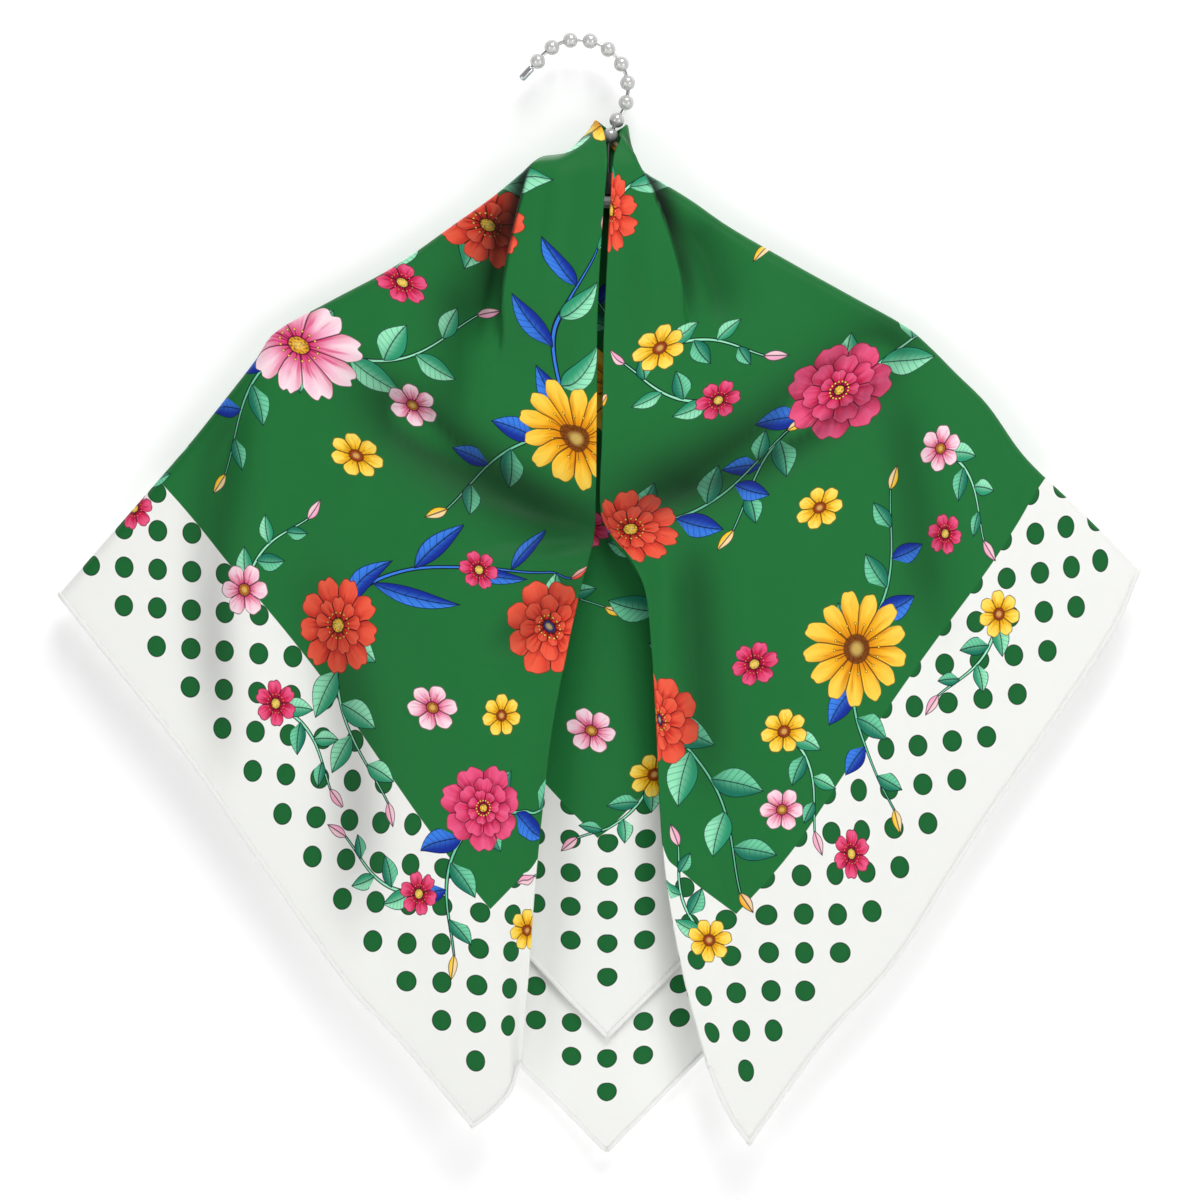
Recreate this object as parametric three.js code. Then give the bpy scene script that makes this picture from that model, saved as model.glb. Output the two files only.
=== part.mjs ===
import * as THREE from 'three';

// Silk square, 900 mm a side, folded just off its diagonal and hung round the neck of a hanger.
// Millimetres, Z up, front towards -Y. The origin is the top of the inside of the hook.

// Cloth
const SQUARE = 900;
const FOLD_OFF = 38;
const WALL = 1.0;
const LAYER = 1.0;
const FRONT_DROP = 3.9;
const BACK_DROP = 2.4;
const HEM_WIDE = 3.0;
const HEM_THICK = 1.8;
const SEAM = 0.3;
const NECK_HALF = 12;
const PINCH_REACH = 75;

// Half diagonal of the square, then the reach of the outer and of the inner layer from the fold.
const HALF = SQUARE / Math.SQRT2;
const OUTER = HALF + FOLD_OFF;
const INNER = HALF - FOLD_OFF;

// Round of the cloth over the shoulder line, across and in the plane of the hanger.
const RIDGE_DEEP = 7.4;
const RIDGE_WIDE = 6.2;

// Hanger
const NECK = { x: 22, z: -45 };
const HOOK_RADIUS = 30.05;
const PEARL_RADIUS = 4.8;
const WIRE_RADIUS = 1.25;
const PEARL_BORE = 2.25;
const PEARL_PITCH = 23.15;
const ARM_RADIUS = 4.0;
const POST_X = 18;
const POST_END = -82;

// Sides of the scarf. wing is how far from the tip the hem goes over the shoulder line.
// Each edge is a table of points [x, z] from the neck, in the plane of the hanger. easy is the fold edge
// without its bend at the pinch: the sheet is laid to it, then drawn to the fold edge nearby.
const SIDES = {
  left: {
    sign: -1,
    wing: 409,
    forward: 2.2,
    shoulder: [
      [-11, 1], [-16, -7], [-30, -20], [-45, -23], [-57, -33], [-74, -47], [-95, -62], [-135, -90],
      [-174, -111], [-207, -130], [-218, -146], [-239, -173], [-259, -198], [-298, -243], [-339, -290],
    ],
    fold: [
      [-11, 1], [-8, -8], [-7, -26], [-8.5, -66], [-10, -115], [-11, -182], [-11.5, -231], [-13, -256],
      [-21, -286], [-30, -328], [-38, -371], [-45, -431], [-49, -475], [-52, -517], [-57, -573],
    ],
    easy: [[-11, 1], [-7, -26], [-8.5, -66], [-9, -160], [-15, -256], [-27, -328], [-43, -431], [-57, -573]],
    hem: [[-339, -290], [-298, -341], [-260, -389], [-210, -461], [-162, -528], [-134, -558], [-87, -613]],
    tip: [[-57, -573], [-64, -592], [-75, -604], [-87, -613]],
    backHem: [[-339, -290], [-262, -372], [-176, -462], [-86, -550], [-5, -631]],
  },
  right: {
    sign: 1,
    wing: 420,
    forward: 0,
    shoulder: [
      [7, -2], [10, -17], [16, -30], [30, -39], [46, -49], [69, -65], [107, -87], [143, -107],
      [177, -126], [190, -137], [207, -154], [226, -173], [249, -205], [281, -236], [320, -275],
    ],
    fold: [
      [7, -2], [1, -12], [-4, -24], [-5, -50], [-6, -90], [-7, -140], [-8, -195], [-9, -236], [-3.5, -251],
      [8, -265], [18, -285], [22, -319], [25, -368], [28, -431], [33, -475], [43, -526], [57, -576],
    ],
    easy: [[7, -2], [-4, -24], [-6, -90], [-4, -180], [6, -270], [20, -360], [33, -455], [57, -576]],
    hem: [
      [320, -275], [306, -307], [274, -357], [235, -413], [205, -459], [170, -514], [127, -562], [82, -624],
    ],
    tip: [[57, -576], [64, -594], [72, -610], [82, -624]],
    backHem: [[320, -275], [248, -358], [166, -452], [80, -545], [-5, -631]],
  },
};

// Centre line of the back, behind the neck, from its top to the lowest corner.
const BACK_CENTRE = [[-1, -6], [-3, -200], [-4, -420], [-5, -631]];

// Folds of the front: a line from (x1, z1) to (x2, z2), bowed sideways, standing high towards the
// front and falling away over the widths left and right of it.
const FRONT_FOLDS = [
  { name: 'left pleat', x1: -55, z1: -30, x2: -71, z2: -128, bow: 3, high: 8.5, left: 8.5, right: 36 },
  { name: 'left pleat valley', x1: -68, z1: -46, x2: -76, z2: -112, bow: 2, high: -2.6, left: 14, right: 6 },
  { name: 'left long valley', x1: -150, z1: -168, x2: -14, z2: -252, bow: -5, high: -5, left: 15, right: 17 },
  { name: 'left pinch ridge', x1: -18, z1: -266, x2: -96, z2: -272, bow: 3, high: 3, left: 9, right: 9 },
  { name: 'left pinch valley', x1: -24, z1: -280, x2: -66, z2: -312, bow: 0, high: -3, left: 10, right: 10 },
  { name: 'left chest ridge', x1: -74, z1: -108, x2: -84, z2: -186, bow: -3, high: 3.2, left: 13, right: 15 },
  { name: 'left chest valley', x1: -97, z1: -100, x2: -104, z2: -178, bow: 0, high: -3.2, left: 15, right: 12 },
  { name: 'left wing ridge', x1: -213, z1: -142, x2: -215, z2: -246, bow: 0, high: 3, left: 11, right: 14 },
  { name: 'left wing valley', x1: -231, z1: -166, x2: -240, z2: -372, bow: -10, high: -3, left: 14, right: 12 },
  { name: 'left low valley', x1: -180, z1: -286, x2: -160, z2: -470, bow: 9, high: -3.8, left: 17, right: 17 },
  { name: 'left low ridge', x1: -112, z1: -290, x2: -100, z2: -500, bow: 5, high: 4, left: 30, right: 30 },
  { name: 'left edge valley', x1: -42, z1: -345, x2: -56, z2: -470, bow: -2, high: -2.4, left: 12, right: 10 },
  { name: 'right pleat', x1: 17, z1: -30, x2: 44, z2: -110, bow: 8, high: 8.5, left: 34, right: 8.5 },
  { name: 'right pleat valley', x1: 36, z1: -58, x2: 55, z2: -112, bow: 3, high: -2.6, left: 6, right: 14 },
  { name: 'right long valley', x1: 2, z1: -238, x2: 172, z2: -136, bow: -12, high: -5, left: 17, right: 15 },
  { name: 'right low ridge', x1: 34, z1: -262, x2: 150, z2: -196, bow: -8, high: 2.6, left: 22, right: 20 },
  { name: 'right edge ridge', x1: 30, z1: -272, x2: 28, z2: -345, bow: 0, high: 2.4, left: 10, right: 11 },
  { name: 'right edge valley', x1: 50, z1: -268, x2: 55, z2: -395, bow: 0, high: -3.6, left: 14, right: 15 },
  { name: 'right chest valley', x1: 122, z1: -96, x2: 110, z2: -176, bow: 0, high: -2.2, left: 18, right: 18 },
  { name: 'right wing valley', x1: 172, z1: -172, x2: 192, z2: -300, bow: 0, high: -2.8, left: 13, right: 13 },
  { name: 'right wing ridge', x1: 205, z1: -180, x2: 215, z2: -300, bow: 0, high: 2.4, left: 14, right: 16 },
  { name: 'right low swell', x1: 116, z1: -270, x2: 104, z2: -520, bow: 0, high: 5, left: 38, right: 42 },
  { name: 'right tip valley', x1: 62, z1: -440, x2: 76, z2: -570, bow: 0, high: -2.2, left: 11, right: 12 },
];

// Folds of the back, deeper towards the hem.
const BACK_FOLDS = [
  { name: 'back ridge 1', x1: -196, z1: -150, x2: -214, z2: -400, bow: 0, high: 4, left: 18, right: 20 },
  { name: 'back ridge 2', x1: -112, z1: -130, x2: -128, z2: -500, bow: 0, high: 4.6, left: 20, right: 22 },
  { name: 'back ridge 3', x1: -38, z1: -150, x2: -46, z2: -600, bow: 0, high: 5, left: 18, right: 20 },
  { name: 'back ridge 4', x1: 34, z1: -140, x2: 42, z2: -590, bow: 0, high: 4.6, left: 18, right: 20 },
  { name: 'back ridge 5', x1: 104, z1: -140, x2: 124, z2: -500, bow: 0, high: 4.6, left: 20, right: 20 },
  { name: 'back ridge 6', x1: 182, z1: -150, x2: 200, z2: -390, bow: 0, high: 4, left: 18, right: 18 },
];

const GREEN = 0x1f6b3a;
const WHITE = 0xf4f4f1;
const PEARL = 0xf6f3ee;
const STEEL = 0xc4c6c9;

const { smoothstep, clamp, lerp } = THREE.MathUtils;
const root = new THREE.Group();

// Curve through the rows of a table, read by its share of length.
function rail(rows) {
  const points = rows.map(([x, z]) => new THREE.Vector2(x, z));
  const last = points.length - 1;
  const reach = [0];
  for (let i = 1; i <= last; i++) {
    reach.push(reach[i - 1] + points[i].distanceTo(points[i - 1]));
  }
  const slopes = points.map((_, i) => {
    const before = Math.max(i - 1, 0);
    const after = Math.min(i + 1, last);
    return points[after].clone().sub(points[before]).divideScalar(reach[after] - reach[before]);
  });
  return (share) => {
    const along = share * reach[last];
    let i = 0;
    while (i < last - 1 && along > reach[i + 1]) i++;
    const span = reach[i + 1] - reach[i];
    const k = (along - reach[i]) / span;
    const k2 = k * k;
    const k3 = k2 * k;
    return new THREE.Vector2()
      .addScaledVector(points[i], 2 * k3 - 3 * k2 + 1)
      .addScaledVector(slopes[i], (k3 - 2 * k2 + k) * span)
      .addScaledVector(points[i + 1], 3 * k2 - 2 * k3)
      .addScaledVector(slopes[i + 1], (k3 - k2) * span);
  };
}

// Patch inside four edges: begin and end run across, near and far run along.
function coons(near, far, begin, end) {
  const corners = [near(0), near(1), far(0), far(1)];
  return (s, t) => {
    const point = new THREE.Vector2()
      .addScaledVector(near(t), 1 - s)
      .addScaledVector(far(t), s)
      .addScaledVector(begin(s), 1 - t)
      .addScaledVector(end(s), t);
    point.addScaledVector(corners[0], -(1 - s) * (1 - t));
    point.addScaledVector(corners[1], -(1 - s) * t);
    point.addScaledVector(corners[2], -s * (1 - t));
    return point.addScaledVector(corners[3], -s * t);
  };
}

// Height of one fold at a place on the sheet.
function foldHeight(fold, x, z) {
  const dx = fold.x2 - fold.x1;
  const dz = fold.z2 - fold.z1;
  const length = Math.hypot(dx, dz);
  const along = ((x - fold.x1) * dx + (z - fold.z1) * dz) / (length * length);
  const inside = clamp(along, 0, 1);
  let across = ((z - fold.z1) * dx - (x - fold.x1) * dz) / length;
  across -= fold.bow * 4 * inside * (1 - inside);
  const width = across < 0 ? fold.left : fold.right;
  const ends = smoothstep(along, -0.2, 0.2) * smoothstep(1 - along, -0.25, 0.25);
  return fold.high * ends * Math.exp(-((across / width) ** 2));
}

function foldsHeight(folds, x, z) {
  return folds.reduce((sum, fold) => sum + foldHeight(fold, x, z), 0);
}

// Half turn of cloth: how far a length of cloth gets along the plane, and how far round it is.
function turn(length, wide) {
  const quarter = wide * Math.PI / 2;
  if (length >= quarter) return { along: wide + length - quarter, round: 1 };
  const angle = length / wide;
  return { along: wide * (1 - Math.cos(angle)), round: Math.sin(angle) };
}

// Flat shape of one side: places on the square as distance along the fold and away from it.
function flatSide(side) {
  const tipFold = INNER;
  const tip = { p: HALF, q: FOLD_OFF };
  const wing = { p: HALF - side.wing / Math.SQRT2, q: FOLD_OFF + side.wing / Math.SQRT2 };
  return { tipFold, tip, wing };
}

// Sheets: share s runs from the fold to the hem, share t from the shoulder line.
function frontSheet(side) {
  const flat = flatSide(side);
  const edge = rail(side.fold);
  const easy = rail(side.easy);
  const map = coons(easy, rail(side.hem), rail(side.shoulder), rail(side.tip));
  const hemReach = (t) => lerp(flat.wing.q, flat.tip.q, t);
  const columnLength = (s) => lerp(flat.tipFold - NECK_HALF, side.wing, s);
  const reachAt = (t) => lerp(NECK_HALF, flat.tipFold, t);
  const laid = (s, t) => {
    const along = lerp(lerp(NECK_HALF, flat.tipFold, t), lerp(flat.wing.p, flat.tip.p, t), s);
    const share = clamp((along - NECK_HALF) / (flat.tipFold - NECK_HALF), 0, 1);
    const drawn = 1 - smoothstep(s * hemReach(t), 0, PINCH_REACH);
    return map(s, t).addScaledVector(edge(share).sub(easy(share)), drawn);
  };
  const base = (s, t) => {
    const length = columnLength(s);
    const over = turn(t * length, RIDGE_WIDE);
    const plane = laid(s, over.along / turn(length, RIDGE_WIDE).along);
    const down = Math.max(t * length, 0);
    const deep = RIDGE_DEEP * lerp(1, 0.7, s) * over.round;
    const swell = 8 * (1 - Math.exp(-down / 55)) * lerp(1, 0.55, s);
    const ahead = side.forward * smoothstep(down, 0, 60) * (1 - smoothstep(s, 0.05, 0.3));
    const folds = foldsHeight(FRONT_FOLDS, plane.x, plane.y) * smoothstep(down, 1, 24);
    return new THREE.Vector3(plane.x, -(deep + swell + ahead + folds), plane.y);
  };
  return { base, hemReach, reachAt, lengthAt: columnLength, innerDrop: FRONT_DROP };
}

function backSheet(side) {
  const flat = flatSide(side);
  const neck = rail([side.shoulder[0], BACK_CENTRE[0]]);
  const map = coons(neck, rail(side.backHem), rail(side.shoulder), rail(BACK_CENTRE));
  const hemReach = (t) => lerp(flat.wing.q, OUTER, t);
  const even = flatSide({ wing: (SIDES.left.wing + SIDES.right.wing) / 2 });
  const rowLength = (s) => {
    const acrossRow = lerp(NECK_HALF, even.wing.p, s);
    return Math.hypot(acrossRow, (OUTER - even.wing.q) * s);
  };
  const reachAt = (t) => lerp(NECK_HALF, 0, t);
  const base = (s, t) => {
    const length = rowLength(s);
    const over = turn(t * length, RIDGE_WIDE);
    const plane = map(s, over.along / turn(length, RIDGE_WIDE).along);
    const down = Math.max(t * length, 0);
    const low = smoothstep(-plane.y, 40, 560);
    const deep = RIDGE_DEEP * lerp(1, 0.7, s * (1 - t)) * over.round;
    const swell = 4 * (1 - Math.exp(-down / 55)) * (1 - low);
    const folds = foldsHeight(BACK_FOLDS, plane.x, plane.y) * smoothstep(down, 2, 40) * lerp(0.5, 1.2, low);
    return new THREE.Vector3(plane.x, deep + swell + folds, plane.y);
  };
  return { base, hemReach, reachAt, lengthAt: rowLength, innerDrop: BACK_DROP };
}

// Share s at which a line parallel to the hem, reach from the corner of the fold, crosses share t.
function shareOfHem(sheet, reach, t) {
  return (reach - sheet.reachAt(t)) / (OUTER - sheet.reachAt(t));
}

function crossOf(point, s, t, stepS, stepT) {
  const acrossS = point(s + stepS, t).sub(point(s - stepS, t));
  const acrossT = point(s, t + stepT).sub(point(s, t - stepT));
  return acrossS.cross(acrossT).normalize();
}

function sheetNormal(sheet) {
  return (s, t) => crossOf(sheet.base, s, t, 0.002, 0.0006);
}

// Middle of one layer: outside (1) or inside (-1) of the folded cloth, curling round the fold edge.
function layerPoint(sheet, layer, outward, normalAt) {
  return (s, t) => {
    const reach = sheet.hemReach(t);
    const over = turn(s * reach, LAYER);
    const flatShare = over.along / reach;
    const normal = normalAt(flatShare, t);
    const free = smoothstep(over.along, 0.8, 7) * smoothstep(t * sheet.lengthAt(s), 8, 26);
    const drop = layer < 0 ? sheet.innerDrop * free : 0;
    return sheet.base(flatShare, t).addScaledVector(normal, outward * (layer * LAYER * over.round - drop));
  };
}

// Closed wall of even thickness over a grid of places given by rows of [s, t].
function wallGeometry(point, grid, thick) {
  const rows = grid.length;
  const columns = grid[0].length;
  const faces = [[], []];
  for (const row of grid) {
    for (const [s, t] of row) {
      const middle = point(s, t);
      const normal = crossOf(point, s, t, 0.0004, 0.0003);
      faces[0].push(middle.clone().addScaledVector(normal, thick / 2));
      faces[1].push(middle.clone().addScaledVector(normal, -thick / 2));
    }
  }
  const positions = [...faces[0], ...faces[1]].flatMap((v) => [v.x + NECK.x, v.y, v.z + NECK.z]);
  const back = rows * columns;
  const index = [];
  const quad = (a, b, c, d) => index.push(a, b, c, a, c, d);
  for (let i = 0; i < rows - 1; i++) {
    for (let j = 0; j < columns - 1; j++) {
      const a = i * columns + j;
      quad(a, a + 1, a + columns + 1, a + columns);
      quad(back + a, back + a + columns, back + a + columns + 1, back + a + 1);
    }
  }
  for (let j = 0; j < columns - 1; j++) {
    const end = (rows - 1) * columns + j;
    quad(j + 1, j, back + j, back + j + 1);
    quad(end, end + 1, back + end + 1, back + end);
  }
  for (let i = 0; i < rows - 1; i++) {
    const a = i * columns;
    const b = a + columns - 1;
    quad(a, a + columns, back + a + columns, back + a);
    quad(b + columns, b, back + b, back + b + columns);
  }
  const geometry = new THREE.BufferGeometry();
  geometry.setAttribute('position', new THREE.Float32BufferAttribute(positions, 3));
  geometry.setIndex(index);
  return volumeOf(geometry) < 0 ? turnedOut(geometry) : geometry;
}

function volumeOf(geometry) {
  const position = geometry.getAttribute('position');
  const [a, b, c] = [new THREE.Vector3(), new THREE.Vector3(), new THREE.Vector3()];
  let volume = 0;
  for (let i = 0; i < geometry.index.count; i += 3) {
    a.fromBufferAttribute(position, geometry.index.getX(i));
    b.fromBufferAttribute(position, geometry.index.getX(i + 1));
    c.fromBufferAttribute(position, geometry.index.getX(i + 2));
    volume += a.dot(b.cross(c)) / 6;
  }
  return volume;
}

function turnedOut(geometry) {
  const index = geometry.index.array;
  for (let i = 0; i < index.length; i += 3) {
    [index[i + 1], index[i + 2]] = [index[i + 2], index[i + 1]];
  }
  return geometry;
}

function add(name, geometry, color, roughness, metalness) {
  geometry.computeVertexNormals();
  const mesh = new THREE.Mesh(geometry, new THREE.MeshStandardMaterial({ color, roughness, metalness }));
  mesh.name = name;
  root.add(mesh);
  return mesh;
}

// Shares of the rows. Curled rows by the fold and by the shoulder line are given in millimetres.
const LIP_ROWS = [SEAM / 2, 0.55, 1.3];
const RIDGE_ROWS = [SEAM / 2, 3.2, 6.5, 10.5];
const FRONT_S = [0.02, 0.045, 0.07, 0.09, 0.11, 0.13, 0.15, 0.175, 0.21, 0.26, 0.32, 0.39, 0.47, 0.56, 0.66,
  0.78, 0.9, 1];
const FRONT_T = [0.02, 0.04, 0.06, 0.085, 0.115, 0.15, 0.19, 0.23, 0.27, 0.31, 0.35, 0.385, 0.41, 0.435, 0.46,
  0.485, 0.52, 0.57, 0.64, 0.71, 0.79, 0.87, 0.94, 1];
const BACK_S = [0.04, 0.09, 0.15, 0.22, 0.31, 0.41, 0.52, 0.64, 0.76, 0.88, 1];
const BACK_T = [0.06, 0.13, 0.2, 0.28, 0.36, 0.44, 0.52, 0.6, 0.68, 0.76, 0.84, 0.92, 1];
const HEM_S = [0, 0.5, 1];
const TIP_S = [0.06, 0.15, 0.27, 0.4, 0.53, 0.66, 0.79, 0.92];

// The inner layer has its columns under those of the outer layer where both pass over the shoulder.
const INNER_SHORTER = (OUTER - NECK_HALF) / (INNER - NECK_HALF);
const INNER_S = [...FRONT_S.map((share) => share * INNER_SHORTER).filter((share) => share < 0.95), 1];
const INNER_T = [0.02, 0.04, 0.085, 0.15, 0.23, 0.31, 0.35, 0.385, 0.41, 0.435, 0.46, 0.485, 0.52, 0.57, 0.64,
  0.79, 0.94, 0.983];
const INNER_BACK_S = [...BACK_S.map((share) => share * INNER_SHORTER).filter((share) => share < 0.95), 1];

const HEM_LINE = OUTER - (HEM_WIDE + SEAM) * Math.SQRT2;
const HEM_START = OUTER - HEM_WIDE * Math.SQRT2;
const TIP_LINE = 1 - (HEM_WIDE + 5 * SEAM) * Math.SQRT2 / (INNER - NECK_HALF);
const TIP_START = 1 - HEM_WIDE * Math.SQRT2 / (INNER - NECK_HALF);

// Share t of one row: the first rows turn over the shoulder line, the others run on to the end.
function rowShare(sheet, shares, row, s, end) {
  const length = sheet.lengthAt(s);
  const total = RIDGE_ROWS.length + shares.length;
  const ridge = RIDGE_ROWS[RIDGE_ROWS.length - 1] / length;
  if (row === 0) return RIDGE_ROWS[0] / length;
  const even = (row / (total - 1)) * end;
  const rest = row - RIDGE_ROWS.length;
  const graded = rest < 0 ? RIDGE_ROWS[row] / length : lerp(ridge, end, shares[rest]);
  return lerp(even, graded, smoothstep(length, 12, 130));
}

// Grid of [s, t] from the curl at the fold to a line parallel to the hem.
function panelGrid(sheet, shares, rows, reach, end = 1) {
  const total = RIDGE_ROWS.length + rows.length;
  return Array.from({ length: total }, (_, row) => {
    const lip = LIP_ROWS.map((length) => {
      const t = rowShare(sheet, rows, row, 0, end);
      return [length / sheet.hemReach(t), t];
    });
    const main = shares.map((share) => {
      const t = rowShare(sheet, rows, row, share, end);
      const start = LIP_ROWS[LIP_ROWS.length - 1] / sheet.hemReach(t);
      return [lerp(start, shareOfHem(sheet, reach, t), share), t];
    });
    return [...lip, ...main];
  });
}

// Grid of [s, t] of the strip along the hem.
function hemGrid(sheet, rows) {
  const total = RIDGE_ROWS.length + rows.length;
  return Array.from({ length: total }, (_, row) => {
    const t = rowShare(sheet, rows, row, 1, 1);
    return HEM_S.map((share) => [lerp(shareOfHem(sheet, HEM_START, t), 1, share), t]);
  });
}

function everySecond(list) {
  return list.filter((_, i) => i % 2 === (list.length - 1) % 2);
}

function addCloth(name, geometry) {
  return add(name, geometry, GREEN, 0.42, 0);
}

function addHem(name, geometry) {
  return add(name, geometry, WHITE, 0.45, 0);
}

// Front flaps
for (const [name, side] of Object.entries(SIDES)) {
  const sheet = frontSheet(side);
  const outer = layerPoint(sheet, 1, -side.sign, sheetNormal(sheet));
  const inner = layerPoint(sheet, -1, -side.sign, sheetNormal(sheet));
  const outerGrid = panelGrid(sheet, FRONT_S, FRONT_T, HEM_LINE, TIP_LINE);
  addCloth(`front_${name}`, wallGeometry(outer, outerGrid, WALL));
  const innerGrid = panelGrid(sheet, INNER_S, INNER_T, INNER, TIP_LINE);
  addCloth(`inner_front_${name}`, wallGeometry(inner, innerGrid, WALL));
  addHem(`hem_${name}`, wallGeometry(outer, hemGrid(sheet, FRONT_T), HEM_THICK));
  const tipRows = [TIP_START, (TIP_START + 1) / 2, 1].map((t) => TIP_S.map((s) => [s, t]));
  addHem(`hem_tip_${name}`, wallGeometry(outer, tipRows, HEM_THICK));
}

// Back: both halves joined along the centre line, place running from -1 on the left to 1 on the right.
const halves = [
  { sheet: backSheet(SIDES.left), place: (t) => t - 1 },
  { sheet: backSheet(SIDES.right), place: (t) => 1 - t },
];

function backBase(s, place) {
  return halves[place < 0 ? 0 : 1].sheet.base(s, 1 - Math.abs(place));
}

// The normals run on across the centre line, so the layers of both halves meet there without a crease.
function backPoint(layer) {
  const [left, right] = halves.map((half) => {
    const stepAt = (t) => lerp(0.0006, 0.03, smoothstep(t, 0.4, 0.9));
    const normalAt = (s, t) => crossOf(backBase, s, half.place(t), 0.002, stepAt(t));
    return layerPoint(half.sheet, layer, -1, normalAt);
  });
  return (s, place) => (place < 0 ? left(s, 1 + place) : right(s, 1 - place));
}

function backGrid(gridOf) {
  const [left, right] = halves.map((half) => {
    return gridOf(half.sheet).map((row) => row.map(([s, t]) => [s, half.place(t)]));
  });
  return [...left, ...right.slice(0, -1).reverse()];
}

const outerBack = backGrid((sheet) => panelGrid(sheet, BACK_S, BACK_T, HEM_LINE));
addCloth('back', wallGeometry(backPoint(1), outerBack, WALL));
const innerBack = backGrid((sheet) => panelGrid(sheet, INNER_BACK_S, everySecond(BACK_T), INNER));
addCloth('inner_back', wallGeometry(backPoint(-1), innerBack, WALL));
addHem('hem_back', wallGeometry(backPoint(1), backGrid((sheet) => hemGrid(sheet, BACK_T)), HEM_THICK));

// Hook: a wire threaded through pearls, round a circle and down to the neck.
const HOOK_CENTRE_Z = -(HOOK_RADIUS - PEARL_RADIUS);

function onHook(degrees) {
  const angle = THREE.MathUtils.degToRad(degrees);
  return new THREE.Vector3(HOOK_RADIUS * Math.cos(angle), 0, HOOK_CENTRE_Z + HOOK_RADIUS * Math.sin(angle));
}

const FIRST_PEARL = 146;
const HOOK_PEARLS = 9;
const LAST_PEARL = FIRST_PEARL - (HOOK_PEARLS - 1) * PEARL_PITCH;
const hookTip = new THREE.Vector3(-30.2, 0, -14.1);
const circle = Array.from({ length: 17 }, (_, i) => onHook(lerp(FIRST_PEARL, LAST_PEARL, i / 16)));
const neckPearl = new THREE.Vector3(19.3, 0, -53.6);
const wirePath = new THREE.CatmullRomCurve3([
  hookTip, ...circle, neckPearl, new THREE.Vector3(POST_X, 0, -63), new THREE.Vector3(POST_X, 0, POST_END),
]);

function rod(path, radius, sides, steps) {
  const shape = new THREE.Shape();
  shape.absarc(0, 0, radius, 0, Math.PI * 2, false);
  const options = { steps, curveSegments: sides, bevelEnabled: false, extrudePath: path };
  return new THREE.ExtrudeGeometry(shape, options);
}

add('hook_wire', rod(wirePath, WIRE_RADIUS, 4, 60), STEEL, 0.3, 0.9);

function pearlGeometry() {
  const half = Math.sqrt(PEARL_RADIUS ** 2 - PEARL_BORE ** 2);
  const tilt = Math.asin(half / PEARL_RADIUS);
  const profile = Array.from({ length: 9 }, (_, i) => {
    const angle = lerp(-tilt, tilt, i / 8);
    return new THREE.Vector2(PEARL_RADIUS * Math.cos(angle), PEARL_RADIUS * Math.sin(angle));
  });
  profile.push(profile[0].clone());
  return new THREE.LatheGeometry(profile, 12);
}

// Turns a lathe, built along Y, to lie along a direction at a place.
function seat(geometry, place, direction) {
  const turned = new THREE.Quaternion().setFromUnitVectors(new THREE.Vector3(0, 1, 0), direction);
  return geometry.applyQuaternion(turned).translate(place.x, place.y, place.z);
}

function alongHook(degrees) {
  return onHook(degrees - 0.5).sub(onHook(degrees + 0.5)).normalize();
}

for (let i = 0; i < HOOK_PEARLS; i++) {
  const degrees = lerp(FIRST_PEARL, LAST_PEARL, i / (HOOK_PEARLS - 1));
  const name = `pearl_${String(i + 1).padStart(2, '0')}`;
  add(name, seat(pearlGeometry(), onHook(degrees), alongHook(degrees)), PEARL, 0.25, 0);
}
const neckAlong = new THREE.Vector3(-0.3, 0, -1).normalize();
add('pearl_10', seat(pearlGeometry(), neckPearl, neckAlong), PEARL, 0.25, 0);

// Clear cap at the open end of the hook.
const CAP_RADIUS = 1.9;
const CAP_LONG = 7.2;
const capProfile = [[0, 0], [1.5, 0], [CAP_RADIUS, 0.5], [CAP_RADIUS, 5.8], [1.3, 6.9], [0, CAP_LONG]];
const capAlong = hookTip.clone().sub(onHook(FIRST_PEARL)).normalize();
const capPlace = hookTip.clone().addScaledVector(capAlong, SEAM);
const capPoints = [...capProfile, [0, 0]].map(([x, y]) => new THREE.Vector2(x, y));
add('hook_cap', seat(new THREE.LatheGeometry(capPoints, 12), capPlace, capAlong), STEEL, 0.2, 0);

// Boss the wire is set in, and the arms under the shoulder line, given from the neck.
const BOSS = { radius: 4, bore: WIRE_RADIUS + SEAM, high: 13, deep: 9 };
const ARM_ROWS = [
  [-198, -136], [-174, -122.5], [-135, -101], [-95, -75], [-50, -54], [-4, -49],
  [32, -55], [69, -76], [107, -97.5], [143, -118.5], [176, -137],
];
const armTop = NECK.z - 49 + ARM_RADIUS;
const bossBottom = armTop + SEAM;
const bossProfile = [
  [0, 0], [BOSS.radius, 0], [BOSS.radius, BOSS.high], [BOSS.bore, BOSS.high],
  [BOSS.bore, BOSS.high - BOSS.deep], [0, BOSS.high - BOSS.deep], [0, 0],
];
const bossPoints = bossProfile.map(([x, y]) => new THREE.Vector2(x, y));
const up = new THREE.Vector3(0, 0, 1);
const bossPlace = new THREE.Vector3(POST_X, 0, bossBottom);
add('neck_boss', seat(new THREE.LatheGeometry(bossPoints, 14), bossPlace, up), STEEL, 0.4, 0.6);
const armPath = new THREE.CatmullRomCurve3(
  ARM_ROWS.map(([x, z]) => new THREE.Vector3(x + NECK.x, 0, z + NECK.z)),
);
add('hanger_arms', rod(armPath, ARM_RADIUS, 5, 32), PEARL, 0.4, 0);

export default root;
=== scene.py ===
"""Looks of a silk square scarf hung round the neck of a beaded hanger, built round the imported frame."""
import logging
import math
import random
from dataclasses import dataclass
from enum import Enum

import bmesh
import bpy
import numpy as np
from mathutils import Matrix, Vector


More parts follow.
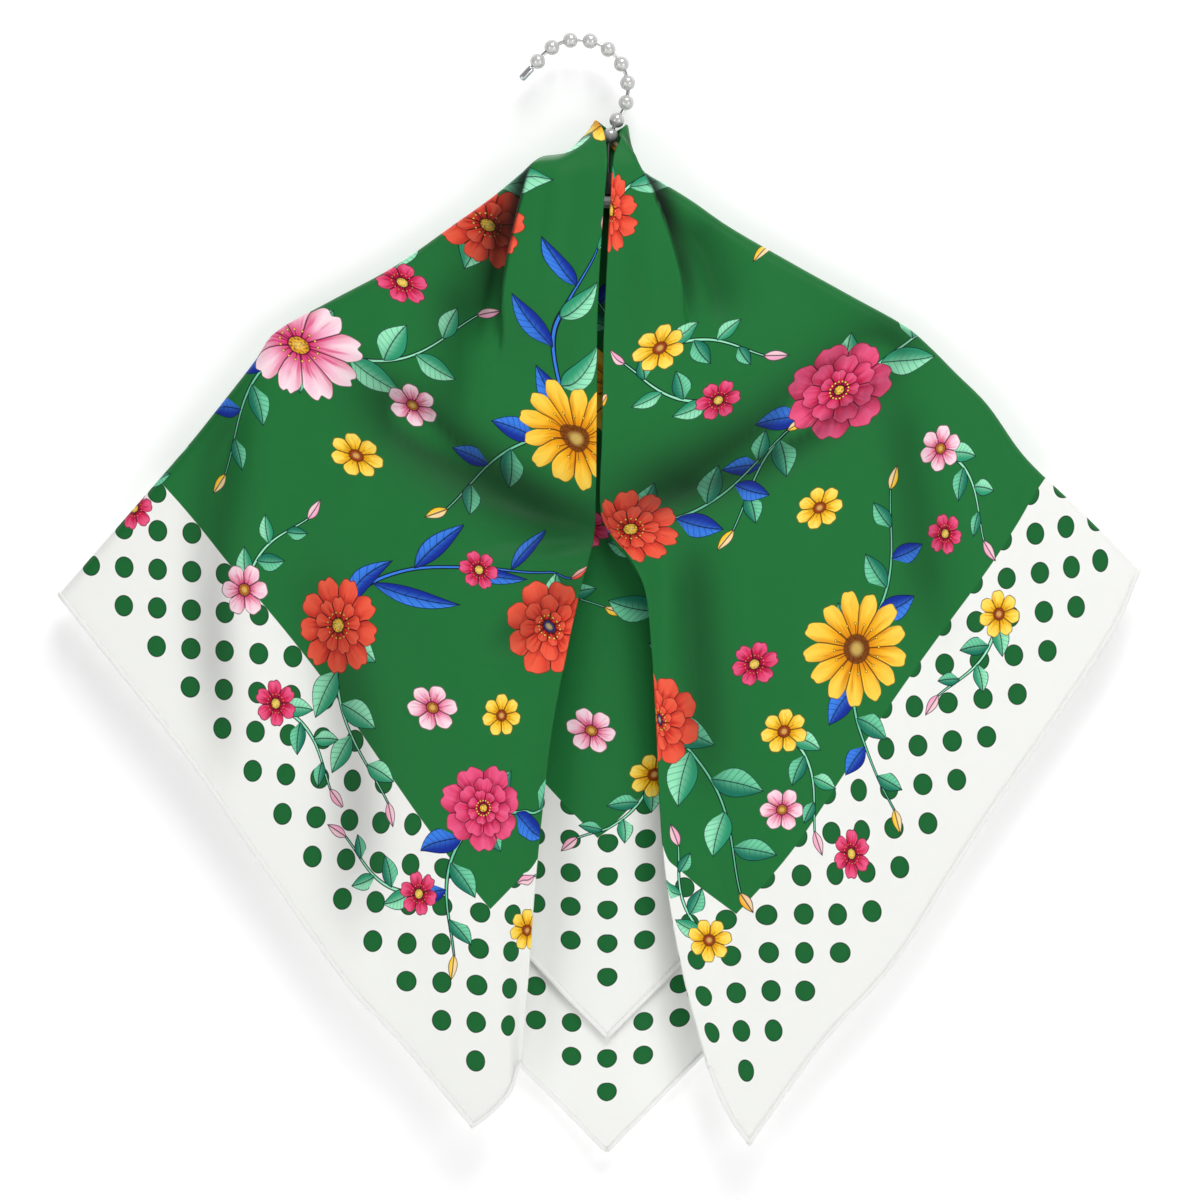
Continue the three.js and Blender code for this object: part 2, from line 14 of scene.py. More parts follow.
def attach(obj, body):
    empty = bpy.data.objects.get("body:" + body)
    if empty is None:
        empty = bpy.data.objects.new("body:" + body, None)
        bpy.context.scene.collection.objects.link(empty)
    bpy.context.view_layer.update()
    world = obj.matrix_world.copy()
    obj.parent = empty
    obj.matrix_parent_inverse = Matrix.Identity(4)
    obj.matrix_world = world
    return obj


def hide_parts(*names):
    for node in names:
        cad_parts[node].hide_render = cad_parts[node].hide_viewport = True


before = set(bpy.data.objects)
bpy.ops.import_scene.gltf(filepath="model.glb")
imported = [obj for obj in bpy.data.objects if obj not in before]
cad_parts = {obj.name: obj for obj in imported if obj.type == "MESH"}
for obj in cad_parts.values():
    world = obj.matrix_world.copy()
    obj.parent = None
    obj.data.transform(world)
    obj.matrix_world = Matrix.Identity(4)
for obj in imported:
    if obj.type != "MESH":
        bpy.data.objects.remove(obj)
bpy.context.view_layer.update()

LOG = logging.getLogger("scarf")
MM = 0.001

# The drape is worked out in millimetres from the neck, as on a pattern table, and built in metres.
SQUARE = 900.0
FOLD_OFF = 38.0
LAYER = 1.0
FRONT_DROP = 1.8
BACK_DROP = 1.4
NECK_HALF = 12.0
PINCH_REACH = 75.0
HALF = SQUARE / math.sqrt(2)
OUTER = HALF + FOLD_OFF
INNER = HALF - FOLD_OFF
RIDGE_DEEP = 7.4
RIDGE_WIDE = 6.2
NECK = np.array([22.0, 0.0, -45.0])


class Layer(Enum):
    """The two layers of the folded square, by the side of the fold's middle that they lie on."""

    OUTER = 1
    INNER = -1


@dataclass(frozen=True)
class Side:
    """Edges of one half of the scarf, as rows of x and z from the neck in the hanger's plane."""

    name: str
    sign: int
    wing: float
    forward: float
    shoulder: tuple
    fold: tuple
    easy: tuple
    hem: tuple
    tip: tuple
    back_hem: tuple


LEFT = Side(
    name="left",
    sign=-1,
    wing=409.0,
    forward=2.2,
    shoulder=(
        (-11, 1), (-16, -7), (-30, -20), (-45, -23), (-57, -33), (-74, -47), (-95, -62), (-135, -90),
        (-174, -111), (-207, -130), (-218, -146), (-239, -173), (-259, -198), (-298, -243), (-339, -290),
    ),
    fold=(
        (-11, 1), (-8, -8), (-7, -26), (-8.5, -66), (-10, -115), (-11, -182), (-11.5, -231), (-13, -256),
        (-21, -286), (-30, -328), (-38, -371), (-45, -431), (-49, -475), (-52, -517), (-57, -573),
    ),
    easy=((-11, 1), (-7, -26), (-8.5, -66), (-9, -160), (-15, -256), (-27, -328), (-43, -431), (-57, -573)),
    hem=((-339, -290), (-298, -341), (-260, -389), (-210, -461), (-162, -528), (-134, -558), (-87, -613)),
    tip=((-57, -573), (-64, -592), (-75, -604), (-87, -613)),
    back_hem=((-339, -290), (-262, -372), (-176, -462), (-86, -550), (-5, -631)),
)
RIGHT = Side(
    name="right",
    sign=1,
    wing=420.0,
    forward=0.0,
    shoulder=(
        (7, -2), (10, -17), (16, -30), (30, -39), (46, -49), (69, -65), (107, -87), (143, -107),
        (177, -126), (190, -137), (207, -154), (226, -173), (249, -205), (281, -236), (320, -275),
    ),
    fold=(
        (7, -2), (1, -12), (-4, -24), (-5, -50), (-6, -90), (-7, -140), (-8, -195), (-9, -236), (-3.5, -251),
        (8, -265), (18, -285), (22, -319), (25, -368), (28, -431), (33, -475), (43, -526), (57, -576),
    ),
    easy=((7, -2), (-4, -24), (-6, -90), (-4, -180), (6, -270), (20, -360), (33, -455), (57, -576)),
    hem=(
        (320, -275), (306, -307), (274, -357), (235, -413), (205, -459), (170, -514), (127, -562), (82, -624),
    ),
    tip=((57, -576), (64, -594), (72, -610), (82, -624)),
    back_hem=((320, -275), (248, -358), (166, -452), (80, -545), (-5, -631)),
)
BACK_CENTRE = ((-1, -6), (-3, -200), (-4, -420), (-5, -631))


@dataclass(frozen=True)
class Fold:
    """A ridge (high above 0) or valley along a bowed line, falling away to its left and right."""

    x1: float
    z1: float
    x2: float
    z2: float
    bow: float
    high: float
    left: float
    right: float

    def height(self, x: np.ndarray, z: np.ndarray) -> np.ndarray:
        """How far the fold stands out.

        Args:
            x: places across, from the neck.
            z: places up, from the neck.

        Returns:
            Heights in millimetres.
        """
        dx, dz = self.x2 - self.x1, self.z2 - self.z1
        length = math.hypot(dx, dz)
        along = ((x - self.x1) * dx + (z - self.z1) * dz) / length**2
        inside = np.clip(along, 0, 1)
        across = ((z - self.z1) * dx - (x - self.x1) * dz) / length - self.bow * 4 * inside * (1 - inside)
        width = np.where(across < 0, self.left, self.right)
        ends = smooth(along, -0.2, 0.2) * smooth(1 - along, -0.25, 0.25)
        return self.high * ends * np.exp(-((across / width) ** 2))


# Folds of the front. The first rows follow the solid model's, some of them deeper, then come small creases.
FRONT_FOLDS = (
    Fold(-72, -52, -84, -128, 2, -5.0, 24, 5),
    Fold(-150, -160, -12, -250, -6, -9, 22, 15),
    Fold(-18, -264, -96, -272, 3, 4.4, 8, 9),
    Fold(-24, -282, -70, -318, 0, -4.6, 10, 11),
    Fold(-74, -108, -84, -186, -3, 3.2, 13, 15),
    Fold(-97, -100, -104, -178, 0, -3.2, 15, 12),
    Fold(-213, -142, -215, -246, 0, 3, 11, 14),
    Fold(-231, -166, -240, -372, -10, -4.6, 15, 13),
    Fold(-180, -286, -160, -470, 9, -5, 18, 17),
    Fold(-112, -290, -100, -500, 5, 4, 30, 30),
    Fold(-42, -345, -56, -470, -2, -2.4, 12, 10),
    Fold(44, -62, 64, -118, 3, -4.2, 7, 16),
    Fold(4, -236, 176, -130, -13, -9.5, 15, 24),
    Fold(34, -262, 150, -196, -8, 2.6, 22, 20),
    Fold(29, -272, 28, -345, 0, 3.4, 8, 9),
    Fold(47, -264, 55, -395, 0, -5.2, 12, 14),
    Fold(122, -96, 110, -176, 0, -2.2, 18, 18),
    Fold(172, -172, 192, -300, 0, -3.8, 13, 13),
    Fold(205, -180, 215, -300, 0, 2.4, 14, 16),
    Fold(116, -270, 104, -520, 0, 5, 38, 42),
    Fold(62, -440, 76, -570, 0, -2.2, 11, 12),
    Fold(-30, -30, -36, -100, 1, 2.0, 4, 6),
    Fold(-18, -60, -26, -170, 2, 1.6, 6, 8),
    Fold(14, -70, 22, -160, -2, 1.6, 7, 6),
    Fold(-20, -250, -84, -232, 2, 1.2, 4, 5),
    Fold(-20, -256, -72, -256, 1, -1.2, 4, 4),
    Fold(-2, -246, 44, -222, -2, 1.4, 5, 4),
    Fold(4, -254, 52, -240, -1, -1.2, 4, 4),
    Fold(-140, -120, -170, -250, 6, 1.4, 9, 9),
    Fold(-190, -400, -150, -520, 3, 1.2, 8, 8),
    Fold(150, -330, 150, -480, 4, -1.4, 10, 10),
    Fold(238, -230, 236, -330, 2, -1.4, 8, 8),
)


@dataclass(frozen=True)
class Pleat(Fold):
    """A sharp fold of the front that leans over its valley, by a share of its height."""

    lean: float = 0.0

    def under(self, x: np.ndarray, z: np.ndarray) -> np.ndarray:
        """Painted shadow on the cloth that the pleat overhangs.

        Args:
            x: places across, measured from where the pleat starts.
            z: places up, from the neck.

        Returns:
            Values from 0 to 1.
        """
        dx, dz = self.x2 - self.x1, self.z2 - self.z1
        length = math.hypot(dx, dz)
        along = ((x - self.x1) * dx + (z - self.z1) * dz) / length**2
        inside = np.clip(along, 0, 1)
        across = ((z - self.z1) * dx - (x - self.x1) * dz) / length - self.bow * 4 * inside * (1 - inside)
        away = across * (1 if self.lean > 0 else -1)
        wide = 13.5 if self.lean < 0 else 10.0
        paler = 1 - 0.35 * smooth(along, 0.45, 0.7)
        ends = smooth(along, -0.05, 0.1) * paler * (1 - smooth(along, 0.7, 1.15))
        return 0.97 * ends * smooth(away, -1.2, 0.6) * np.exp(-((np.maximum(away, 0) / wide) ** 2.6))


PLEATS = (
    Pleat(-37.5, -10, -62.5, -126, -3, 15.5, 3.4, 42, lean=-0.5),
    Pleat(-1, -10, 37, -116, 5, 14.0, 38, 3.4, lean=0.5),
)


def painted_fold_shade(x: np.ndarray, z: np.ndarray) -> np.ndarray:
    """Painted shade of the cloth in the depth of its folds and beside the pleats.

    Args:
        x: places across, from the neck.
        z: places up, from the neck.

    Returns:
        Values from 0 in the open to 1 in the deepest fold.
    """
    # Painted shade: deeper valleys are painted darker, and each pleat paints its shadow on the cloth it
    # overhangs.
    depth = sum(np.maximum(-fold.height(x, z), 0) for fold in FRONT_FOLDS if fold.high < -3)
    dark = 0.08 * depth
    for pleat in PLEATS:
        dark = dark + pleat.under(x - pleat.high * pleat.lean, z)
    return np.clip(dark, 0, 0.95)


BACK_FOLDS = (
    Fold(-196, -150, -214, -400, 0, 4, 18, 20),
    Fold(-112, -130, -128, -500, 0, 4.6, 20, 22),
    Fold(-38, -150, -46, -600, 0, 5, 18, 20),
    Fold(34, -140, 42, -590, 0, 4.6, 18, 20),
    Fold(104, -140, 124, -500, 0, 4.6, 20, 20),
    Fold(182, -150, 200, -390, 0, 4, 18, 18),
    Fold(-20, -20, -60, -150, 4, 2.2, 8, 8),
    Fold(20, -20, 66, -150, -4, 2.2, 8, 8),
)


def smooth(value: np.ndarray, low: float, high: float) -> np.ndarray:
    """Smooth step from 0 at low to 1 at high.

    Args:
        value: places to read it at.
        low: where it leaves 0.
        high: where it reaches 1.

    Returns:
        The step's values.
    """
    k = np.clip((value - low) / (high - low), 0, 1)
    return k * k * (3 - 2 * k)


def mix(a: float, b: float, k: np.ndarray) -> np.ndarray:
    """The value a share k of the way from a to b."""
    return a + (b - a) * k


def turn(length: np.ndarray, wide: float) -> tuple:
    """Half turn of cloth.

    Args:
        length: length of cloth from the middle of the turn.
        wide: radius of the turn in the plane.

    Returns:
        How far that length gets along the plane, and the sine of how far round it is.
    """
    angle = np.minimum(length / wide, math.pi / 2)
    along = wide * (1 - np.cos(angle)) + np.maximum(length - wide * math.pi / 2, 0)
    return along, np.sin(angle)


class Rail:
    """Curve through the rows of a table, read by its share of length."""

    def __init__(self, rows: tuple) -> None:
        """Measures the rows and the slope at each."""
        self.points = np.array(rows, float)
        steps = np.linalg.norm(np.diff(self.points, axis=0), axis=1)
        self.reach = np.concatenate([[0], np.cumsum(steps)])
        before = np.maximum(np.arange(len(rows)) - 1, 0)
        after = np.minimum(np.arange(len(rows)) + 1, len(rows) - 1)
        span = (self.reach[after] - self.reach[before])[:, None]
        self.slopes = (self.points[after] - self.points[before]) / span

    def at(self, share: np.ndarray) -> np.ndarray:
        """Places on the curve.

        Args:
            share: shares of its length.

        Returns:
            Places as rows of x and z.
        """
        along = np.asarray(share) * self.reach[-1]
        i = np.clip(np.searchsorted(self.reach, along, side="right") - 1, 0, len(self.reach) - 2)
        span = self.reach[i + 1] - self.reach[i]
        k = ((along - self.reach[i]) / span)[..., None]
        span = span[..., None]
        k2, k3 = k * k, k**3
        return (
            self.points[i] * (2 * k3 - 3 * k2 + 1)
            + self.slopes[i] * (k3 - 2 * k2 + k) * span
            + self.points[i + 1] * (3 * k2 - 2 * k3)
            + self.slopes[i + 1] * (k3 - k2) * span
        )


class Patch:
    """Surface inside four rails: near and far run along it, begin and end across it."""

    def __init__(self, near: Rail, far: Rail, begin: Rail, end: Rail) -> None:
        """Keeps the four rails."""
        self.near, self.far, self.begin, self.end = near, far, begin, end

    def at(self, s: np.ndarray, t: np.ndarray) -> np.ndarray:
        """Places on the patch.

        Args:
            s: shares from near to far.
            t: shares from begin to end.

        Returns:
            Places as rows of x and z.
        """
        zero, one = np.zeros(1), np.ones(1)
        s1, t1 = s[..., None], t[..., None]
        point = self.near.at(t) * (1 - s1) + self.far.at(t) * s1
        point = point + self.begin.at(s) * (1 - t1) + self.end.at(s) * t1
        point = point - self.near.at(zero) * (1 - s1) * (1 - t1) - self.near.at(one) * (1 - s1) * t1
        return point - self.far.at(zero) * s1 * (1 - t1) - self.far.at(one) * s1 * t1


def cross_of(point, s: np.ndarray, t: np.ndarray, step_s: float, step_t: float) -> np.ndarray:
    """Unit normals of a surface.

    Args:
        point: function of s and t that gives places.
        s: first shares.
        t: second shares.
        step_s: step taken either way in s.
        step_t: step taken either way in t.

    Returns:
        Unit vectors, one for each place.
    """
    across_s = point(s + step_s, t) - point(s - step_s, t)
    across_t = point(s, t + step_t) - point(s, t - step_t)
    normal = np.cross(across_s, across_t)
    return normal / np.maximum(np.linalg.norm(normal, axis=-1, keepdims=True), 1e-12)


class Sheet:
    """Half of the folded scarf in front or behind: share s runs from the fold to the hem, share t from
    the shoulder line."""

    inner_drop = 0.0
    outward = 1
    end = 1.0

    def __init__(self, side: Side) -> None:
        """Works out where the wing and the tip lie on the flat square."""
        self.side = side
        self.tip_fold = INNER
        self.wing_p = HALF - side.wing / math.sqrt(2)
        self.wing_q = FOLD_OFF + side.wing / math.sqrt(2)

    def normal(self, s: np.ndarray, t: np.ndarray) -> np.ndarray:
        """Normals of the sheet between its two layers."""
        return cross_of(self.base, s, t, 0.002, 0.0006)

    def place(self, layer: Layer, s: np.ndarray, t: np.ndarray) -> np.ndarray:
        """Places on one layer, curling round the fold edge.

        Args:
            layer: which of the two layers.
            s: shares from the fold.
            t: shares from the shoulder line.

        Returns:
            Places in millimetres from the neck.
        """
        reach = self.hem_reach(t)
        along, rounding = turn(s * reach, LAYER)
        share = along / reach
        free = smooth(along, 0.8, 7) * smooth(t * self.length_at(s), 8, 26)
        drop = self.inner_drop * free if layer is Layer.INNER else 0.0
        lift = self.outward * (layer.value * LAYER * rounding - drop)
        return self.base(share, t) + self.normal(share, t) * lift[..., None]

    def hem_share(self, reach: float, t: np.ndarray) -> np.ndarray:
        """Share s at which a line parallel to the hem, reach from the fold's middle, crosses share t."""
        return (reach - self.reach_at(t)) / (OUTER - self.reach_at(t))

    def uv(self, layer: Layer, s: np.ndarray, t: np.ndarray) -> np.ndarray:
        """Places on the flat square, from 0 to 1 along its sides.

        Args:
            layer: which of the two layers.
            s: shares from the fold.
            t: shares from the shoulder line.

        Returns:
            Rows of u and v.
        """
        p, q = self.flat(s, t)
        q = layer.value * q - FOLD_OFF
        p = p * self.side.sign
        return np.stack([(p + q), (q - p)], axis=-1) / math.sqrt(2) / SQUARE + 0.5


class FrontSheet(Sheet):
    """One front flap."""

    inner_drop = FRONT_DROP
    end = 1 - 1.5 * math.sqrt(2) / (INNER - NECK_HALF)

    def __init__(self, side: Side) -> None:
        """Lays the flap between its edges."""
        super().__init__(side)
        self.outward = -side.sign
        self.edge, self.easy = Rail(side.fold), Rail(side.easy)
        self.patch = Patch(self.easy, Rail(side.hem), Rail(side.shoulder), Rail(side.tip))

    def hem_reach(self, t: np.ndarray) -> np.ndarray:
        """How far the hem is from the fold on the flat square."""
        return mix(self.wing_q, FOLD_OFF, t)

    def reach_at(self, t: np.ndarray) -> np.ndarray:
        """How far along the fold share t is."""
        return mix(NECK_HALF, self.tip_fold, t)

    def length_at(self, s: np.ndarray) -> np.ndarray:
        """Length of cloth from the shoulder line to the tip edge."""
        return mix(INNER - NECK_HALF, self.side.wing, s)

    def flat(self, s: np.ndarray, t: np.ndarray) -> tuple:
        """Place on the flat square, along the fold and away from it."""
        along = mix(mix(NECK_HALF, self.tip_fold, t), mix(self.wing_p, HALF, t), s)
        return along, s * self.hem_reach(t)

    def laid(self, s: np.ndarray, t: np.ndarray) -> np.ndarray:
        """Place in the hanger's plane, drawn to the fold edge near it."""
        share = np.clip((self.flat(s, t)[0] - NECK_HALF) / (self.tip_fold - NECK_HALF), 0, 1)
        drawn = 1 - smooth(s * self.hem_reach(t), 0, PINCH_REACH)
        return self.patch.at(s, t) + (self.edge.at(share) - self.easy.at(share)) * drawn[..., None]

    def base(self, s: np.ndarray, t: np.ndarray) -> np.ndarray:
        """Place of the cloth, between its two layers.

        Args:
            s: shares from the fold.
            t: shares from the shoulder line.

        Returns:
            Places in millimetres from the neck.
        """
        length = self.length_at(s)
        along, rounding = turn(t * length, RIDGE_WIDE)
        plane = self.laid(s, along / turn(length, RIDGE_WIDE)[0])
        down = np.maximum(t * length, 0)
        deep = RIDGE_DEEP * mix(1, 0.7, s) * rounding
        swell = 8 * (1 - np.exp(-down / 55)) * mix(1, 0.55, s)
        ahead = self.side.forward * smooth(down, 0, 60) * (1 - smooth(s, 0.05, 0.3))
        x, z = plane[..., 0], plane[..., 1]
        free = smooth(down, 1, 24)
        high = (sum(fold.height(x, z) for fold in FRONT_FOLDS) + ripple(x, z) * smooth(down, 20, 90)) * free
        shift = 0.0
        for pleat in PLEATS:
            rise = pleat.height(x, z) * smooth(down, 0, 12)
            high = high + rise
            shift = shift + rise * pleat.lean
        return np.stack([x + shift, -(deep + swell + ahead + high), z], axis=-1)


class BackSheet(Sheet):
    """One half of the back."""

    inner_drop = BACK_DROP

    def __init__(self, side: Side) -> None:
        """Lays the half between its edges."""
        super().__init__(side)
        self.outward = side.sign
        neck = Rail((side.shoulder[0], BACK_CENTRE[0]))
        self.patch = Patch(neck, Rail(side.back_hem), Rail(side.shoulder), Rail(BACK_CENTRE))

    def hem_reach(self, t: np.ndarray) -> np.ndarray:
        """How far the hem is from the fold on the flat square."""
        return mix(self.wing_q, OUTER, t)

    def reach_at(self, t: np.ndarray) -> np.ndarray:
        """How far along the fold share t is."""
        return mix(NECK_HALF, 0, t)

    def length_at(self, s: np.ndarray) -> np.ndarray:
        """Length of cloth from the shoulder line to the centre line."""
        return np.hypot(mix(NECK_HALF, self.wing_p, s), (OUTER - self.wing_q) * s)

    def flat(self, s: np.ndarray, t: np.ndarray) -> tuple:
        """Place on the flat square, along the fold and away from it."""
        return mix(NECK_HALF * (1 - t), self.wing_p * (1 - t), s), s * self.hem_reach(t)

    def base(self, s: np.ndarray, t: np.ndarray) -> np.ndarray:
        """Place of the cloth, between its two layers.

        Args:
            s: shares from the fold.
            t: shares from the shoulder line.

        Returns:
            Places in millimetres from the neck.
        """
        length = self.length_at(s)
        along, rounding = turn(t * length, RIDGE_WIDE)
        plane = self.patch.at(s, along / turn(length, RIDGE_WIDE)[0])
        down = np.maximum(t * length, 0)
        x, z = plane[..., 0], plane[..., 1]
        low = smooth(-z, 40, 560)
        deep = RIDGE_DEEP * mix(1, 0.7, s * (1 - t)) * rounding
        swell = 4 * (1 - np.exp(-down / 55)) * (1 - low)
        folds = sum(fold.height(x, z) for fold in BACK_FOLDS) * mix(0.5, 1.2, low)
        high = (folds + ripple(x, z)) * smooth(down, 2, 40)
        return np.stack([x, deep + swell + high, z], axis=-1)


# Waves of the ripple: radians a millimetre across and up, and height.
RIPPLES = (
    (0.031, 0.022, 0.5),
    (0.052, -0.017, 0.35),
    (-0.024, 0.047, 0.4),
    (0.083, 0.031, 0.22),
    (0.013, 0.071, 0.3),
)
RIPPLE_OFFSET = 2.1


def ripple(x: np.ndarray, z: np.ndarray) -> np.ndarray:
    """Slight unevenness of hanging silk, in millimetres."""
    return sum(
        high * np.sin(across * x + up * z + RIPPLE_OFFSET * i) for i, (across, up, high) in enumerate(RIPPLES)
    )


def new_object(name: str, bm: bmesh.types.BMesh, material: bpy.types.Material) -> bpy.types.Object:
    """Adds a smooth-shaded piece to the scene.

    Args:
        name: the piece's name.
        bm: its mesh, in metres, which is freed.
        material: its finish.

    Returns:
        The new object, riding on the one body.
    """
    mesh = bpy.data.meshes.new(name)
    bm.to_mesh(mesh)
    bm.free()
    piece = bpy.data.objects.new(name, mesh)
    bpy.context.scene.collection.objects.link(piece)
    mesh.materials.append(material)
    mesh.polygons.foreach_set("use_smooth", np.ones(len(mesh.polygons), bool))
    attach(piece, "root")
    LOG.info("%s: %d faces", name, len(mesh.polygons))
    return piece


def draped_grid(bm: bmesh.types.BMesh, places: np.ndarray, uvs: np.ndarray, turned: bool) -> None:
    """Adds a flat grid to a mesh and lays its points to places.

    Args:
        bm: mesh it is added to.
        places: rows by columns of places, in metres.
        uvs: rows by columns of u and v.
        turned: whether its faces are turned over.
    """
    rows, columns = places.shape[:2]
    patch = bmesh.new()
    uv_layer = patch.loops.layers.uv.new("flat")
    bmesh.ops.create_grid(patch, x_segments=columns - 1, y_segments=rows - 1, size=0.5)
    for vert in patch.verts:
        row, column = round((vert.co.y + 0.5) * (rows - 1)), round((vert.co.x + 0.5) * (columns - 1))
        vert.index = row * columns + column
    flat_places = places.reshape(-1, 3).tolist()
    flat_uvs = uvs.reshape(-1, 2).tolist()
    for vert in patch.verts:
        vert.co = flat_places[vert.index]
    for face in patch.faces:
        for loop in face.loops:
            loop[uv_layer].uv = flat_uvs[loop.vert.index]
    if turned:
        bmesh.ops.reverse_faces(patch, faces=patch.faces)
    mesh = bpy.data.meshes.new("patch")
    patch.to_mesh(mesh)
    patch.free()
    bm.from_mesh(mesh)
    bpy.data.meshes.remove(mesh)


@dataclass
class Scarf:
    """The silk square, folded off its diagonal, in its printed silk."""

    columns: int = 118
    inner_columns: int = 44
    front_rows: int = 176
    back_rows: int = 90
    lip: tuple = (0.0, 0.4, 0.8, 1.2, 1.7)
    ridge: tuple = (0.0, 0.9, 1.9, 3.0, 4.2, 5.5, 7.0, 8.6, 10.5)

    def shares(self, sheet: Sheet, layer: Layer) -> tuple:
        """Shares s and t of one sheet's grid.

        Args:
            sheet: the sheet.
            layer: which of its layers.

        Returns:
            Arrays of s and t, rows by columns.
        """
        count = self.columns if layer is Layer.OUTER else self.inner_columns
        rows = self.front_rows if isinstance(sheet, FrontSheet) else self.back_rows
        main = self.graded(count - len(self.lip), layer)
        nominal = np.concatenate([np.zeros(len(self.lip)), main])[None, :]
        length = sheet.length_at(nominal)
        ridge = np.array(self.ridge)[:, None] / length
        rest = np.linspace(0, 1, rows - len(self.ridge) + 1)[1:, None] ** 1.12
        graded = np.concatenate([ridge, mix(ridge[-1:], sheet.end, rest)])
        even = np.linspace(0, 1, rows)[:, None] * sheet.end
        t = mix(even, graded, smooth(length, 12, 130))
        reach = (OUTER if layer is Layer.OUTER else INNER) - 1.5 * math.sqrt(2)
        start = self.lip[-1] / sheet.hem_reach(t)
        limit = np.maximum(sheet.hem_share(reach, t), start * 1.02)
        s = mix(start, limit, nominal)
        lips = len(self.lip)
        s[:, :lips] = np.array(self.lip)[None, :] / sheet.hem_reach(t[:, :lips])
        return s, t

    def build(self, material: bpy.types.Material) -> bpy.types.Object:
        """Builds the cloth.

        Args:
            material: the printed silk.

        Returns:
            The scarf.
        """
        bm = bmesh.new()
        bm.loops.layers.uv.new("flat")
        sheets = {}
        for side in (LEFT, RIGHT):
            for layer in Layer:
                front, back = FrontSheet(side), BackSheet(side)
                sheets[side.name, layer, "front"] = (front, *self.laid(front, layer))
                sheets[side.name, layer, "back"] = (back, *self.laid(back, layer))
        self.join_edges(sheets)
        for (_, layer, _), (sheet, places, uvs) in sheets.items():
            turned = (sheet.outward > 0) == (layer is Layer.OUTER)
            draped_grid(bm, (places + NECK) * MM, uvs, not turned)
        bmesh.ops.remove_doubles(bm, verts=bm.verts, dist=0.00002)
        return new_object("scarf", bm, material)

    def graded(self, count: int, layer: Layer) -> np.ndarray:
        """Shares of the columns, closer together by the fold edge and under the pleats."""
        share = np.linspace(0, 1, 800)
        close = 1 + 1.6 * np.exp(-share / 0.04)
        if layer is Layer.OUTER:
            close = close + 2.6 * np.exp(-(((share - 0.145) / 0.075) ** 2))
        reach = np.concatenate([[0], np.cumsum((close[1:] + close[:-1]) / 2)])
        return np.interp(np.linspace(0, 1, count + 1)[1:], reach / reach[-1], share)

    def laid(self, sheet: Sheet, layer: Layer) -> tuple:
        """Places and flat places of one layer of a sheet."""
        s, t = self.shares(sheet, layer)
        return sheet.place(layer, s, t), sheet.uv(layer, s, t)

    def join_edges(self, sheets: dict) -> None:
        """Brings the edges that two patches share to the same places.

        Args:
            sheets: the patches, by side, layer and whether in front or behind.
        """
        for layer in Layer:
            for side in ("left", "right"):
                front, back = sheets[side, layer, "front"][1], sheets[side, layer, "back"][1]
                both = (front[0] + back[0]) / 2
                front[0] = back[0] = both
            left, right = sheets["left", layer, "back"][1], sheets["right", layer, "back"][1]
            both = (left[-1] + right[-1]) / 2
            left[-1] = right[-1] = both
        for side in ("left", "right"):
            for where in ("front", "back"):
                outer = sheets[side, Layer.OUTER, where][1]
                inner = sheets[side, Layer.INNER, where][1]
                both = (outer[:, 0] + inner[:, 0]) / 2
                outer[:, 0] = inner[:, 0] = both


